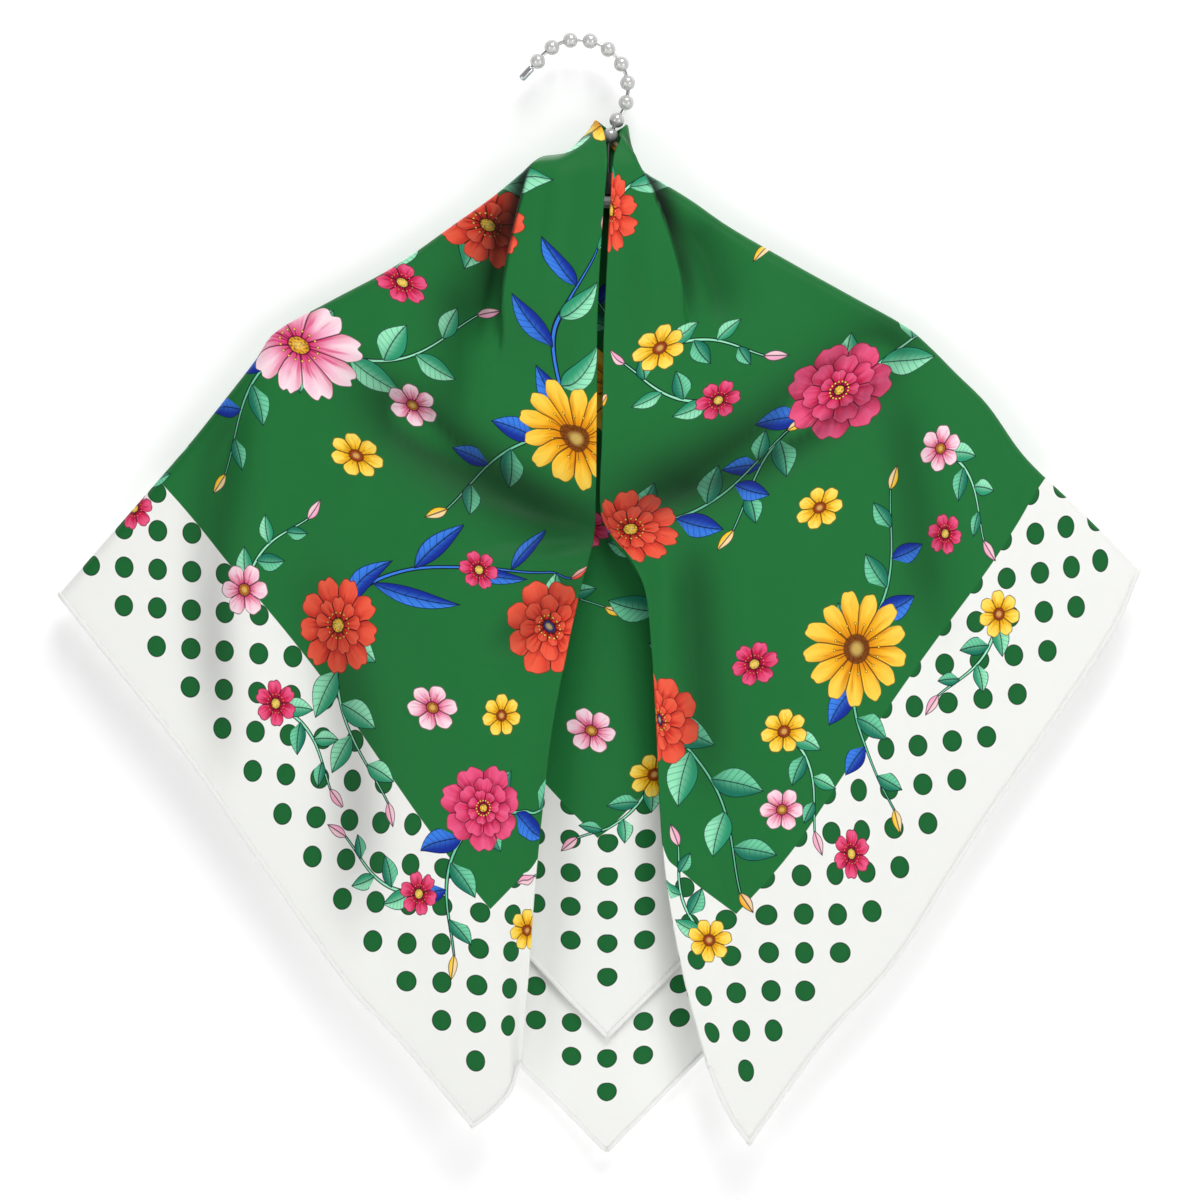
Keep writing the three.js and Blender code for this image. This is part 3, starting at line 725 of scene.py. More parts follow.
@dataclass
class Hem:
    """Rolled hem round the four sides of the square, and its line of stitches."""

    wide: float = 3.0
    thick: float = 2.0
    sides: int = 10
    step: float = 4.0
    stitch_long: float = 2.1
    stitch_pitch: float = 3.1
    stitch_in: float = 2.3
    stitch_radius: float = 0.24

    def runs(self) -> list:
        """The stretches of the hem, each as a sheet, a layer and shares s and t along it."""
        runs = []
        for side in (LEFT, RIGHT):
            front, back = FrontSheet(side), BackSheet(side)
            for layer, reach in ((Layer.OUTER, OUTER), (Layer.INNER, INNER)):
                line = reach - self.wide / 2 * math.sqrt(2)
                last = 1.0 if layer is Layer.OUTER else 0.996
                t_front = np.linspace(0, 1, 110) ** 1.1 * last
                runs.append((front, layer, front.hem_share(line, t_front), t_front))
                t_back = np.linspace(0, 1, 110) ** 1.1
                runs.append((back, layer, back.hem_share(line, t_back), t_back))
            t_tip = np.full(16, FrontSheet.end)
            runs.append((front, Layer.OUTER, np.linspace(0.02, 1, 16), t_tip))
        return runs

    def frames(self, sheet: Sheet, layer: Layer, s: np.ndarray, t: np.ndarray) -> tuple:
        """Places along a stretch, with the ways across the hem, out of the cloth and along it."""
        places = sheet.place(layer, s, t)
        along = np.gradient(places, axis=0)
        along /= np.linalg.norm(along, axis=-1, keepdims=True)
        inside = sheet.place(layer, s * 0.985, np.minimum(t, 0.985)) - places
        inside -= along * (inside * along).sum(-1, keepdims=True)
        inside /= np.maximum(np.linalg.norm(inside, axis=-1, keepdims=True), 1e-9)
        out = np.cross(along, inside)
        return places, inside, out, along

    def build(self, material: bpy.types.Material) -> bpy.types.Object:
        """Builds the rolled edge.

        Args:
            material: the white silk of the hem.

        Returns:
            The hem.
        """
        bm = bmesh.new()
        bm.loops.layers.uv.new("flat")
        ring = np.linspace(0, 2 * math.pi, self.sides + 1)
        for run in self.runs():
            places, inside, out, _ = self.frames(*run)
            roll = (
                places[:, None]
                + inside[:, None] * (self.wide / 2 * np.cos(ring))[None, :, None]
                + out[:, None] * (self.thick / 2 * np.sin(ring))[None, :, None]
            )
            walked = np.concatenate([[0], np.cumsum(np.linalg.norm(np.diff(places, axis=0), axis=1))])
            uvs = np.stack(np.broadcast_arrays(ring[None, :] * self.wide / 6, walked[:, None]), axis=-1) * MM
            draped_grid(bm, (roll + NECK) * MM, uvs, False)
        bmesh.ops.remove_doubles(bm, verts=bm.verts, dist=0.00002)
        bmesh.ops.holes_fill(bm, edges=[edge for edge in bm.edges if edge.is_boundary], sides=self.sides)
        bmesh.ops.recalc_face_normals(bm, faces=bm.faces)
        return new_object("hem", bm, material)

    def stitches(self, material: bpy.types.Material) -> bpy.types.Object:
        """Builds the line of stitches beside the rolled edge.

        Args:
            material: the sewing thread.

        Returns:
            The stitches.
        """
        bm = bmesh.new()
        for sheet, layer, s, t in self.runs():
            places, inside, out, along = self.frames(sheet, layer, s, t)
            walked = np.concatenate([[0], np.cumsum(np.linalg.norm(np.diff(places, axis=0), axis=1))])
            marks = np.arange(3.0, walked[-1] - 3.0, self.stitch_pitch)
            turned = (sheet.normal(s[:1] * 0.9, t[:1] * 0.5)[0] @ out[0]) * sheet.outward * layer.value < 0
            facing = -1 if turned else 1
            for mark in marks:
                at = [
                    np.array([np.interp(mark, walked, column[:, k]) for k in range(3)])
                    for column in (places, inside, out, along)
                ]
                centre = (at[0] + at[1] * self.stitch_in + at[2] * facing * 0.15 + NECK) * MM
                self.add_stitch(bm, Vector(centre), Vector(at[3]), Vector(at[2]) * facing)
        return new_object("hem_stitches", bm, material)

    def add_stitch(self, bm: bmesh.types.BMesh, centre: Vector, along: Vector, out: Vector) -> None:
        """Adds one stitch.

        Args:
            bm: mesh it is added to.
            centre: its middle, in metres.
            along: unit way that it runs.
            out: unit way out of the cloth.
        """
        along = along.normalized()
        side = out.cross(along).normalized()
        out = along.cross(side)
        thin = self.stitch_radius
        frame_rows = Matrix((side * thin, out * thin, along * self.stitch_long / 2))
        placed = Matrix.Translation(centre) @ frame_rows.transposed().to_4x4() @ Matrix.Scale(MM, 4)
        placed.translation = centre
        bmesh.ops.create_icosphere(bm, subdivisions=1, radius=1.0, matrix=placed)


def srgb(red: int, green: int, blue: int) -> tuple:
    """Turns a screen colour, 0 to 255, into the shader's own scale."""
    values = (red / 255, green / 255, blue / 255)
    return tuple(v / 12.92 if v <= 0.04045 else ((v + 0.055) / 1.055) ** 2.4 for v in values)


class Graph:
    """Node tree written as sums and products of its sockets."""

    def __init__(self, tree: bpy.types.NodeTree) -> None:
        """Keeps the tree."""
        self.tree = tree

    def feed(self, value: object, socket: bpy.types.NodeSocket) -> None:
        """Links a wire to a socket, or sets the socket to a plain value."""
        if isinstance(value, Wire):
            self.tree.links.new(value.socket, socket)
        elif isinstance(value, tuple) and len(value) == 3 and socket.type == "RGBA":
            socket.default_value = (*value, 1)
        else:
            socket.default_value = value

    def node(self, kind: str, inputs: tuple = (), output: int = 0, **settings: object) -> "Wire":
        """Adds a node.

        Args:
            kind: the node's type.
            inputs: values for its sockets, as pairs of socket and value.
            output: which of its outputs is wanted.
            settings: the node's own settings.

        Returns:
            The wire from that output.
        """
        node = self.tree.nodes.new(kind)
        for name, value in settings.items():
            setattr(node, name, value)
        for socket, value in inputs:
            self.feed(value, node.inputs[socket])
        return Wire(self, node.outputs[output])

    def math(self, operation: str, *values: object) -> "Wire":
        """Adds a Math node."""
        return self.node("ShaderNodeMath", tuple(enumerate(values)), operation=operation)

    def step(self, value: object, low: object, high: object) -> "Wire":
        """Smooth step from 0 at low to 1 at high."""
        inputs = (("Value", value), ("From Min", low), ("From Max", high), ("To Min", 0.0), ("To Max", 1.0))
        return self.node("ShaderNodeMapRange", inputs, interpolation_type="SMOOTHSTEP")

    def mix(self, factor: object, first: object, second: object) -> "Wire":
        """Mixes two colours."""
        inputs = ((0, factor), (6, first), (7, second))
        return self.node("ShaderNodeMix", inputs, output=2, data_type="RGBA", clamp_factor=True)

    def vector(self, x: object, y: object, z: object) -> "Wire":
        """Joins three values into a vector."""
        return self.node("ShaderNodeCombineXYZ", ((0, x), (1, y), (2, z)))

    def split(self, vector: object) -> tuple:
        """Splits a vector into its three values."""
        first = self.node("ShaderNodeSeparateXYZ", ((0, vector),))
        outputs = first.socket.node.outputs
        return first, Wire(self, outputs[1]), Wire(self, outputs[2])

    def noise(self, vector: object, scale: float, detail: float = 2.0) -> "Wire":
        """Adds a noise pattern."""
        inputs = (("Vector", vector), ("Scale", scale), ("Detail", detail))
        return self.node("ShaderNodeTexNoise", inputs, noise_dimensions="3D")

    def pick(self, share: object, colours: list) -> "Wire":
        """Reads one colour of a list by a share of its length."""
        ramp = self.node("ShaderNodeValToRGB", ((0, share),))
        stops = ramp.socket.node.color_ramp
        stops.interpolation = "CONSTANT"
        for i, colour in enumerate(colours):
            stop = stops.elements[0] if i == 0 else stops.elements.new(i / len(colours))
            stop.position = i / len(colours)
            stop.color = (*colour, 1)
        while len(stops.elements) > len(colours):
            stops.elements.remove(stops.elements[-1])
        return ramp


class Wire:
    """An output socket that can be added, multiplied and so on."""

    def __init__(self, graph: Graph, socket: bpy.types.NodeSocket) -> None:
        """Keeps the socket."""
        self.graph, self.socket = graph, socket

    def __add__(self, other: object) -> "Wire":
        """Sum."""
        return self.graph.math("ADD", self, other)

    def __radd__(self, other: object) -> "Wire":
        """Sum."""
        return self.graph.math("ADD", other, self)

    def __sub__(self, other: object) -> "Wire":
        """Difference."""
        return self.graph.math("SUBTRACT", self, other)

    def __rsub__(self, other: object) -> "Wire":
        """Difference."""
        return self.graph.math("SUBTRACT", other, self)

    def __mul__(self, other: object) -> "Wire":
        """Product."""
        return self.graph.math("MULTIPLY", self, other)

    def __rmul__(self, other: object) -> "Wire":
        """Product."""
        return self.graph.math("MULTIPLY", other, self)

    def __truediv__(self, other: object) -> "Wire":
        """Quotient."""
        return self.graph.math("DIVIDE", self, other)

    def __pow__(self, other: object) -> "Wire":
        """Power."""
        return self.graph.math("POWER", self, other)

    def __abs__(self) -> "Wire":
        """Size without its sign."""
        return self.graph.math("ABSOLUTE", self)


def new_group(name: str, inputs: tuple, outputs: tuple) -> tuple:
    """Makes an empty shader group.

    Args:
        name: the group's name.
        inputs: pairs of name and socket type.
        outputs: pairs of name and socket type.

    Returns:
        The group, its graph, the wires of its inputs and the sockets of its outputs.
    """
    tree = bpy.data.node_groups.new(name, "ShaderNodeTree")
    for label, kind in inputs:
        tree.interface.new_socket(name=label, in_out="INPUT", socket_type=kind)
    for label, kind in outputs:
        tree.interface.new_socket(name=label, in_out="OUTPUT", socket_type=kind)
    graph = Graph(tree)
    start = tree.nodes.new("NodeGroupInput")
    end = tree.nodes.new("NodeGroupOutput")
    wires = [Wire(graph, start.outputs[i]) for i in range(len(inputs))]
    return tree, graph, wires, end.inputs


@dataclass(frozen=True)
class Bloom:
    """A kind of printed flower: sizes as shares of its radius, and colours."""

    radius: float
    petals: int
    depth: float
    notch: float
    middle_ring: float
    inner_ring: float
    centre: float
    deep: tuple
    mid: tuple
    light: tuple
    line: tuple
    heart: tuple


@dataclass(frozen=True)
class Sprig:
    """A kind of printed leafy stem: sizes in millimetres, and colours."""

    length: float
    bend: float
    leaf_long: float
    leaf_wide: float
    pitch: float
    angle: float
    deep_one: tuple
    light_one: tuple
    deep_two: tuple
    light_two: tuple
    bud: tuple


BLUE_DEEP, BLUE_LIGHT = srgb(16, 44, 150), srgb(58, 126, 226)
MINT_DEEP, MINT_LIGHT = srgb(44, 150, 110), srgb(152, 230, 188)
SEA_DEEP, SEA_LIGHT = srgb(24, 116, 92), srgb(112, 204, 160)
CORAL = (srgb(176, 20, 22), srgb(232, 62, 42), srgb(244, 104, 76), srgb(60, 6, 10))
GOLD = (srgb(214, 122, 8), srgb(248, 178, 18), srgb(255, 222, 92), srgb(84, 40, 4))
ROSE = (srgb(150, 4, 48), srgb(212, 18, 74), srgb(242, 104, 150), srgb(66, 2, 26))
BLUSH = (srgb(214, 30, 104), srgb(246, 168, 198), srgb(254, 240, 243), srgb(84, 10, 40))
LEMON = (srgb(224, 140, 8), srgb(252, 200, 30), srgb(255, 232, 116), srgb(84, 44, 4))
BLOOMS = (
    Bloom(30, 8, 0.22, 0.00, 0.66, 0.36, 0.12, *CORAL, srgb(34, 52, 120)),
    Bloom(32, 13, 0.30, 0.00, 0.00, 0.00, 0.25, *GOLD, srgb(128, 66, 14)),
    Bloom(28, 7, 0.20, 0.05, 0.70, 0.42, 0.10, *ROSE, srgb(246, 196, 60)),
    Bloom(31, 9, 0.28, 0.07, 0.00, 0.00, 0.17, *BLUSH, srgb(232, 168, 40)),
    Bloom(26, 9, 0.24, 0.04, 0.60, 0.00, 0.15, *CORAL, srgb(246, 196, 60)),
    Bloom(14.5, 6, 0.34, 0.00, 0.00, 0.00, 0.24, *BLUSH, srgb(196, 120, 30)),
    Bloom(14, 7, 0.30, 0.00, 0.00, 0.00, 0.26, *LEMON, srgb(176, 60, 24)),
    Bloom(13, 6, 0.36, 0.05, 0.00, 0.00, 0.22, *ROSE, srgb(252, 214, 90)),
)
SPRIGS = (
    Sprig(126, 13, 38, 7.4, 44, 34, BLUE_DEEP, BLUE_LIGHT, MINT_DEEP, MINT_LIGHT, ROSE[1]),
    Sprig(104, -11, 31, 8.4, 37, 44, MINT_DEEP, MINT_LIGHT, MINT_DEEP, MINT_LIGHT, BLUSH[1]),
    Sprig(142, 16, 48, 5.8, 52, 25, BLUE_DEEP, BLUE_LIGHT, BLUE_DEEP, BLUE_LIGHT, CORAL[1]),
    Sprig(92, -9, 27, 7.4, 33, 50, SEA_DEEP, SEA_LIGHT, BLUE_DEEP, BLUE_LIGHT, LEMON[1]),
    Sprig(116, 12, 35, 9.6, 42, 41, SEA_DEEP, SEA_LIGHT, MINT_DEEP, MINT_LIGHT, GOLD[1]),
    Sprig(60, 6, 20, 5.6, 26, 46, MINT_DEEP, MINT_LIGHT, SEA_DEEP, SEA_LIGHT, BLUSH[1]),
)
BIG_BLOOMS = 5
MOST_PETALS = 20.0
STEM_SWAY = 3.9
STEM_DARK = srgb(4, 22, 34)


class PrintGroups:
    """Shader groups that paint one flower or one leafy stem in its own coordinates."""

    def ring(
        self, graph: Graph, r: Wire, angle: Wire, count: Wire, size: Wire, phase: float, kind: tuple
    ) -> tuple:
        """Paints one ring of petals.

        Args:
            graph: tree that it is written in.
            r: distance from the centre.
            angle: angle round the centre.
            count: number of petals.
            size: reach of the ring.
            phase: turn of the ring, in petals.
            kind: depth and notch of the petals, streaks, line width and the four colours.

        Returns:
            Wires of the colour and of the mask.
        """
        depth, notch, streak, thin, deep, mid, light, line = kind
        turned = angle * count / (2 * math.pi) + phase
        number = graph.math("ROUND", turned)
        offset = turned - number
        wrapped = graph.math("FLOORED_MODULO", number, count)
        chance = graph.node("ShaderNodeTexWhiteNoise", (("W", wrapped + size * 7.0),), noise_dimensions="1D")
        off_middle = abs(offset) * 2.0
        lobe = 1.0 - depth * off_middle**2.6 - notch * (1.0 - graph.step(off_middle, 0.0, 0.3))
        wave = graph.math("SINE", offset * 17.0 + chance * 6.0) * 0.012
        edge = size * (lobe + (chance - 0.5) * 0.09 + wave)
        share = r / graph.math("MAXIMUM", edge, 0.001)
        mask = graph.step(edge - r, 0.0, 0.012)
        colour = graph.mix(graph.step(share, 0.12, 0.62), deep, mid)
        colour = graph.mix(graph.step(share, 0.45, 1.0) * 0.55, colour, light)
        crown = (1.0 - graph.step(off_middle, 0.0, 0.7)) * graph.step(share, 0.3, 0.8)
        colour = graph.mix(crown * 0.45, colour, light)
        colour = graph.mix(graph.step(offset, 0.16, 0.5) * 0.62, colour, deep)
        rays = graph.step(streak, 0.52, 0.66) * (1.0 - graph.step(share, 0.5, 0.95))
        colour = graph.mix(rays * 0.7, colour, deep)
        pale = (1.0 - graph.step(streak, 0.34, 0.46)) * graph.step(share, 0.35, 0.7)
        colour = graph.mix(pale * 0.4, colour, light)
        gap = (0.5 - abs(offset)) * (2 * math.pi) / count * r
        drawn = 1.0 - graph.step(gap, thin * 0.5, thin * 1.1)
        outline = 1.0 - graph.step(edge - r, thin * 0.8, thin * 1.8)
        return graph.mix(graph.math("MAXIMUM", drawn, outline) * 0.9, colour, line), mask

    def bloom(self) -> bpy.types.NodeTree:
        """Makes the group that paints a flower of radius 1."""
        sockets = (("Colour", "NodeSocketColor"), ("Mask", "NodeSocketFloat"))
        tree, graph, (place,), ends = new_group("printed_bloom", (("Place", "NodeSocketVector"),), sockets)
        x, y, code = graph.split(place)
        share = (code - 0.5) / float(len(BLOOMS))
        shapes = [(b.petals / MOST_PETALS, b.depth, b.notch) for b in BLOOMS]
        petals, depth, notch = graph.split(graph.pick(share, shapes))
        rings = [(b.middle_ring, b.inner_ring, b.centre) for b in BLOOMS]
        middle, inner, centre = graph.split(graph.pick(share, rings))
        thin = graph.split(graph.pick(share, [(0.46 / b.radius, 0, 0) for b in BLOOMS]))[0]
        deep, mid, light, line, heart = [
            graph.pick(share, [getattr(b, part) for b in BLOOMS])
            for part in ("deep", "mid", "light", "line", "heart")
        ]
        petals = graph.math("ROUND", petals * MOST_PETALS)
        r = graph.math("SQRT", x * x + y * y)
        safe = graph.math("MAXIMUM", r, 0.001)
        angle = graph.math("ARCTAN2", y, x)
        streak = graph.noise(graph.vector(x / safe * 7.0, y / safe * 7.0, r * 1.4 + code), 1.0, 2.0)
        kind = (depth, notch, streak, thin, deep, mid, light, line)
        colour, mask = self.ring(graph, r, angle, petals, graph.math("ADD", 0.0, 1.0), 0.0, kind)
        for size, phase in ((middle, 0.5), (inner, 0.2)):
            ring_colour, ring_mask = self.ring(graph, r, angle, petals, size, phase, kind)
            shadow = graph.step(size, 0.1, 0.2) * (1.0 - graph.step(r - size, -0.06, 0.05))
            colour = graph.mix(shadow * 0.4, colour, deep)
            colour = graph.mix(ring_mask * graph.step(size, 0.1, 0.2), colour, ring_colour)
        anthers = 16.0
        turned = angle * anthers / (2 * math.pi)
        aside = abs(turned - graph.math("ROUND", turned)) * (2 * math.pi / anthers) * r
        reach = centre * 1.75
        stalk = (1.0 - graph.step(aside, 0.004, 0.012)) * (1.0 - graph.step(r - reach, -0.01, 0.0))
        colour = graph.mix(stalk * 0.8, colour, line)
        dot = graph.math("SQRT", aside * aside + (r - reach) * (r - reach))
        colour = graph.mix(1.0 - graph.step(dot, 0.018, 0.032), colour, line)
        colour = graph.mix(1.0 - graph.step(dot, 0.01, 0.022), colour, srgb(255, 220, 90))
        disc = 1.0 - graph.step(r - centre, -0.02, 0.0)
        grain = graph.noise(graph.vector(x * 22.0, y * 22.0, 0.0), 1.0, 1.0)
        heart = graph.mix(graph.step(grain, 0.42, 0.6) * 0.7, heart, line)
        heart = graph.mix((1.0 - graph.step(r / centre, 0.2, 0.7)) * 0.5, heart, srgb(252, 220, 120))
        colour = graph.mix(disc, colour, heart)
        rim = 1.0 - graph.step(abs(r - centre), thin * 0.5, thin * 1.2)
        graph.feed(graph.mix(rim * 0.8, colour, line), ends[0])
        graph.feed(mask, ends[1])
        return tree

    def leaf(
        self, graph: Graph, share: Wire, aside: Wire, wide: object, deep: object, light: object
    ) -> tuple:
        """Paints one leaf.

        Args:
            graph: tree that it is written in.
            share: share of its length.
            aside: distance from its midrib, in millimetres.
            wide: its half width.
            deep: colour of its shaded half.
            light: colour of its other half.

        Returns:
            Wires of the colour and of the mask.
        """
        inside = graph.math("MAXIMUM", share * (1.0 - share), 0.0)
        half = inside * 4.0 * wide * (1.3 - share * 0.6)
        edge = half - abs(aside)
        across = aside / graph.math("MAXIMUM", half, 0.01)
        colour = graph.mix(graph.step(across, -0.75, 0.55), deep, light)
        colour = graph.mix((1.0 - graph.step(share, 0.0, 0.4)) * 0.5, colour, deep)
        veins = abs(graph.math("SINE", share * 26.0 - abs(across) * 3.4))
        colour = graph.mix((1.0 - graph.step(veins, 0.08, 0.3)) * 0.7, colour, deep)
        colour = graph.mix((1.0 - graph.step(abs(aside), 0.2, 0.5)) * 0.85, colour, STEM_DARK)
        colour = graph.mix((1.0 - graph.step(edge, 0.36, 0.78)) * 0.92, colour, STEM_DARK)
        return colour, graph.step(edge, 0.0, 0.14)

    def sprig(self) -> bpy.types.NodeTree:
        """Makes the group that paints a leafy stem, in millimetres from its root."""
        sockets = (("Colour", "NodeSocketColor"), ("Mask", "NodeSocketFloat"))
        tree, graph, (place,), ends = new_group("printed_sprig", (("Place", "NodeSocketVector"),), sockets)
        x, y, code = graph.split(place)
        share = (code - 0.5) / float(len(SPRIGS))
        stems = [(v.length / 200, v.bend / 40 + 0.5, v.pitch / 60) for v in SPRIGS]
        sizes = graph.split(graph.pick(share, stems))
        length, bend, pitch = sizes[0] * 200.0, (sizes[1] - 0.5) * 40.0, sizes[2] * 60.0
        leaves = [(v.leaf_long / 50, v.leaf_wide / 20, v.angle / 90) for v in SPRIGS]
        sizes = graph.split(graph.pick(share, leaves))
        leaf_long, leaf_wide, angle = sizes[0] * 50.0, sizes[1] * 20.0, sizes[2] * (math.pi / 2)
        bow = graph.math("SINE", x / length * STEM_SWAY)
        stem_side = abs(y - bend * bow)
        on_stem = graph.step(x, -1.0, 0.5) * (1.0 - graph.step(x - length, 0.0, 1.0))
        width = 1.5 - 0.6 * x / length
        stem = (1.0 - graph.step(stem_side - width, -0.16, 0.1)) * on_stem
        inner = (1.0 - graph.step(stem_side - width, -0.85, -0.55)) * on_stem
        mask = stem
        stem_colour = graph.pick(share, [v.light_one for v in SPRIGS])
        colour = graph.mix(inner, STEM_DARK, stem_colour)
        cosine, sine = graph.math("COSINE", angle), graph.math("SINE", angle)
        halves = (("deep_one", "light_one", 1.0, 5.0), ("deep_two", "light_two", -1.0, 5.0))
        for deep, light, side, start in halves:
            first = pitch * (0.0 if side > 0 else 0.5) + start
            root = graph.math("FLOOR", (x - first) / pitch) * pitch + first
            root_y = bend * graph.math("SINE", root / length * STEM_SWAY)
            dx, dy = x - root, (y - root_y) * side
            along = (dx * cosine + dy * sine) / leaf_long
            curl = (along * along - along) * leaf_long * 0.22
            aside = dy * cosine - dx * sine + curl
            grown = 1.0 - graph.step(root / length, 0.1, 1.0) * 0.35
            leaf_colour, leaf_mask = self.leaf(
                graph, along / grown, aside, leaf_wide * grown,
                graph.pick(share, [getattr(v, deep) for v in SPRIGS]),
                graph.pick(share, [getattr(v, light) for v in SPRIGS]),
            )
            leaf_mask = leaf_mask * graph.step(root, 3.0, 4.0) * (1.0 - graph.step(root - length, -9.0, -8.0))
            colour = graph.mix(leaf_mask, colour, leaf_colour)
            mask = graph.math("MAXIMUM", mask, leaf_mask)
        end_y = bend * math.sin(STEM_SWAY)
        bud_colour = graph.pick(share, [v.bud for v in SPRIGS])
        pale = graph.mix(0.55, bud_colour, (0.9, 0.8, 0.75))
        colour_bud, bud = self.leaf(graph, (x - length + 1.0) / 15.0, y - end_y, 3.1, bud_colour, pale)
        colour = graph.mix(bud, colour, colour_bud)
        graph.feed(colour, ends[0])
        graph.feed(graph.math("MAXIMUM", mask, bud), ends[1])
        return tree


@dataclass(frozen=True)
class Motif:
    """One printed flower or leafy stem on the flat square, in millimetres from its middle."""

    code: int
    across: float
    up: float
    turn: float
    size: float

    def local(self, flat: np.ndarray) -> np.ndarray:
        """Places on the flat square in the motif's own coordinates."""
        cosine, sine = math.cos(self.turn), math.sin(self.turn)
        dx, dy = flat[:, 0] - self.across, flat[:, 1] - self.up
        return np.stack([dx * cosine + dy * sine, dy * cosine - dx * sine], axis=-1) / self.size


@dataclass
class SilkPrint:
    """The print: white dotted borders round a green field that is strewn with flowers."""

    straight_border: float = 97.5
    scalloped_border: float = 89.0
    dot_pitch: float = 15.593
    dot_start: float = 29.0
    dot_radius: float = 6.15
    dot_margin: float = 20.0
    seed: int = 394
    tries: tuple = (("big", 2600), ("small", 1500))
    big_limit: float = 330.0
    small_limit: float = 392.0
    spacing: float = 58.0
    small_spacing: float = 13.0
    big_apart: float = 150.0
    small_apart: float = 118.0
    stem_limit: float = 405.0
    stem_trials: int = 14
    sprig_layers: int = 2
    bloom_layers: int = 1

    def blooms(self, chance: random.Random) -> list:
        """Strews flowers over the field, the big ones first, and a few small ones over the border.

        Args:
            chance: seeded source of chance.

        Returns:
            The flowers.
        """
        placed = []
        for size, count in self.tries:
            for _ in range(count):
                if size == "big":
                    code, limit = chance.randrange(BIG_BLOOMS), self.big_limit
                else:
                    code, limit = chance.randrange(BIG_BLOOMS, len(BLOOMS)), self.small_limit
                across, up = chance.uniform(-limit, limit), chance.uniform(-limit, limit)
                radius = BLOOMS[code].radius * chance.uniform(0.88, 1.06)
                space = self.spacing if size == "big" else self.small_spacing
                near = [math.hypot(across - m.across, up - m.up) - radius - m.size for m in placed]
                alike = [math.hypot(across - m.across, up - m.up) for m in placed if m.code == code + 1]
                apart = self.big_apart if size == "big" else self.small_apart
                if min(near, default=999) < space or min(alike, default=999) < apart:
                    continue
                placed.append(Motif(code + 1, across, up, chance.uniform(0, 2 * math.pi), radius))
        return placed

    def sprigs(self, blooms: list, chance: random.Random) -> list:
        """Grows leafy stems out from under the flowers.

        Args:
            blooms: the flowers.
            chance: seeded source of chance.

        Returns:
            The stems.
        """
        placed, taken = [], []
        for bloom in blooms:
            big = bloom.code <= BIG_BLOOMS
            wanted = chance.choice((2, 2, 3)) if big else chance.choice((1, 1, 2))
            turned = chance.uniform(0, 2 * math.pi)
            for number in range(wanted):
                best, best_room = None, -1e9
                for _ in range(self.stem_trials):
                    code = chance.randrange(len(SPRIGS) - 1) if big else len(SPRIGS) - 1
                    angle = turned + number * 2 * math.pi / wanted + chance.uniform(-0.7, 0.7)
                    length = SPRIGS[code].length
                    ends = [
                        (bloom.across + math.cos(angle) * length * k, bloom.up + math.sin(angle) * length * k)
                        for k in (0.45, 0.75, 1.05)
                    ]
                    others = [m for m in blooms if m is not bloom]
                    room = min(
                        [math.dist(end, (m.across, m.up)) - m.size for end in ends for m in others]
                        + [math.dist(end, other) - 20 for end in ends for other in taken]
                        + [2 * (self.stem_limit - max(abs(end[0]), abs(end[1]))) for end in ends]
                    )
                    if room > best_room:
                        best_room = room
                        best = (Motif(code + 1, bloom.across, bloom.up, angle, 1.0), ends)
                if best_room > (-8 if big else 0):
                    placed.append(best[0])
                    taken.extend(best[1])
        return placed

    def paint_places(self, mesh: bpy.types.Mesh) -> None:
        """Writes each face's place on the flower and the stem that cover it, as attributes.

        Args:
            mesh: the cloth's mesh.
        """
        count = len(mesh.loops)
        flat = np.empty(count * 2, np.float32)
        mesh.uv_layers["flat"].data.foreach_get("uv", flat)
        flat = (flat.reshape(-1, 2).astype(float) - 0.5) * SQUARE
        totals = np.empty(len(mesh.polygons), np.int32)
        starts = np.empty(len(mesh.polygons), np.int32)
        mesh.polygons.foreach_get("loop_total", totals)
        mesh.polygons.foreach_get("loop_start", starts)
        face_of = np.repeat(np.arange(len(totals)), totals)
        middles = np.add.reduceat(flat, starts, axis=0) / totals[:, None]
        chance = random.Random(self.seed)
        blooms = self.blooms(chance)
        sprigs = self.sprigs(blooms, chance)
        LOG.info("print: %d flowers and %d leafy stems", len(blooms), len(sprigs))
        kinds = (("sprigs", sprigs, self.sprig_layers), ("blooms", blooms, self.bloom_layers))
        for label, motifs, layers in kinds:
            values = np.zeros((layers, count, 3), np.float32)
            used = np.zeros((layers, len(totals)), bool)
            left_out = 0
            for motif in motifs:
                local = motif.local(middles)
                if label == "blooms":
                    near = np.hypot(local[:, 0], local[:, 1]) < 1.1 + 4.5 / motif.size
                else:
                    sprig = SPRIGS[motif.code - 1]
                    x = local[:, 0]
                    y = local[:, 1] - sprig.bend * np.sin(x / sprig.length * STEM_SWAY)
                    reach = sprig.leaf_long * math.sin(math.radians(sprig.angle)) + 8
                    reach = np.where(x > sprig.length - 1, 8 + abs(sprig.bend) * 0.6, reach)
                    near = (x > -5) & (x < sprig.length + 18) & (np.abs(y) < reach)
                shares = []
                for layer in range(layers):
                    shares.append(near & ~used[layer])
                    near = near & ~shares[layer]
                if near.sum() > 3:
                    left_out += 1
                    continue
                for layer, taken in enumerate(shares):
                    loops = taken[face_of]
                    values[layer, loops, :2] = motif.local(flat[loops])
                    values[layer, loops, 2] = motif.code
                    used[layer] |= taken
            LOG.info("%s: %d left out for want of room", label, left_out)
            for layer in range(layers):
                attribute = mesh.attributes.new(f"{label}_{layer + 1}", "FLOAT_VECTOR", "CORNER")
                attribute.data.foreach_set("vector", values[layer].ravel())

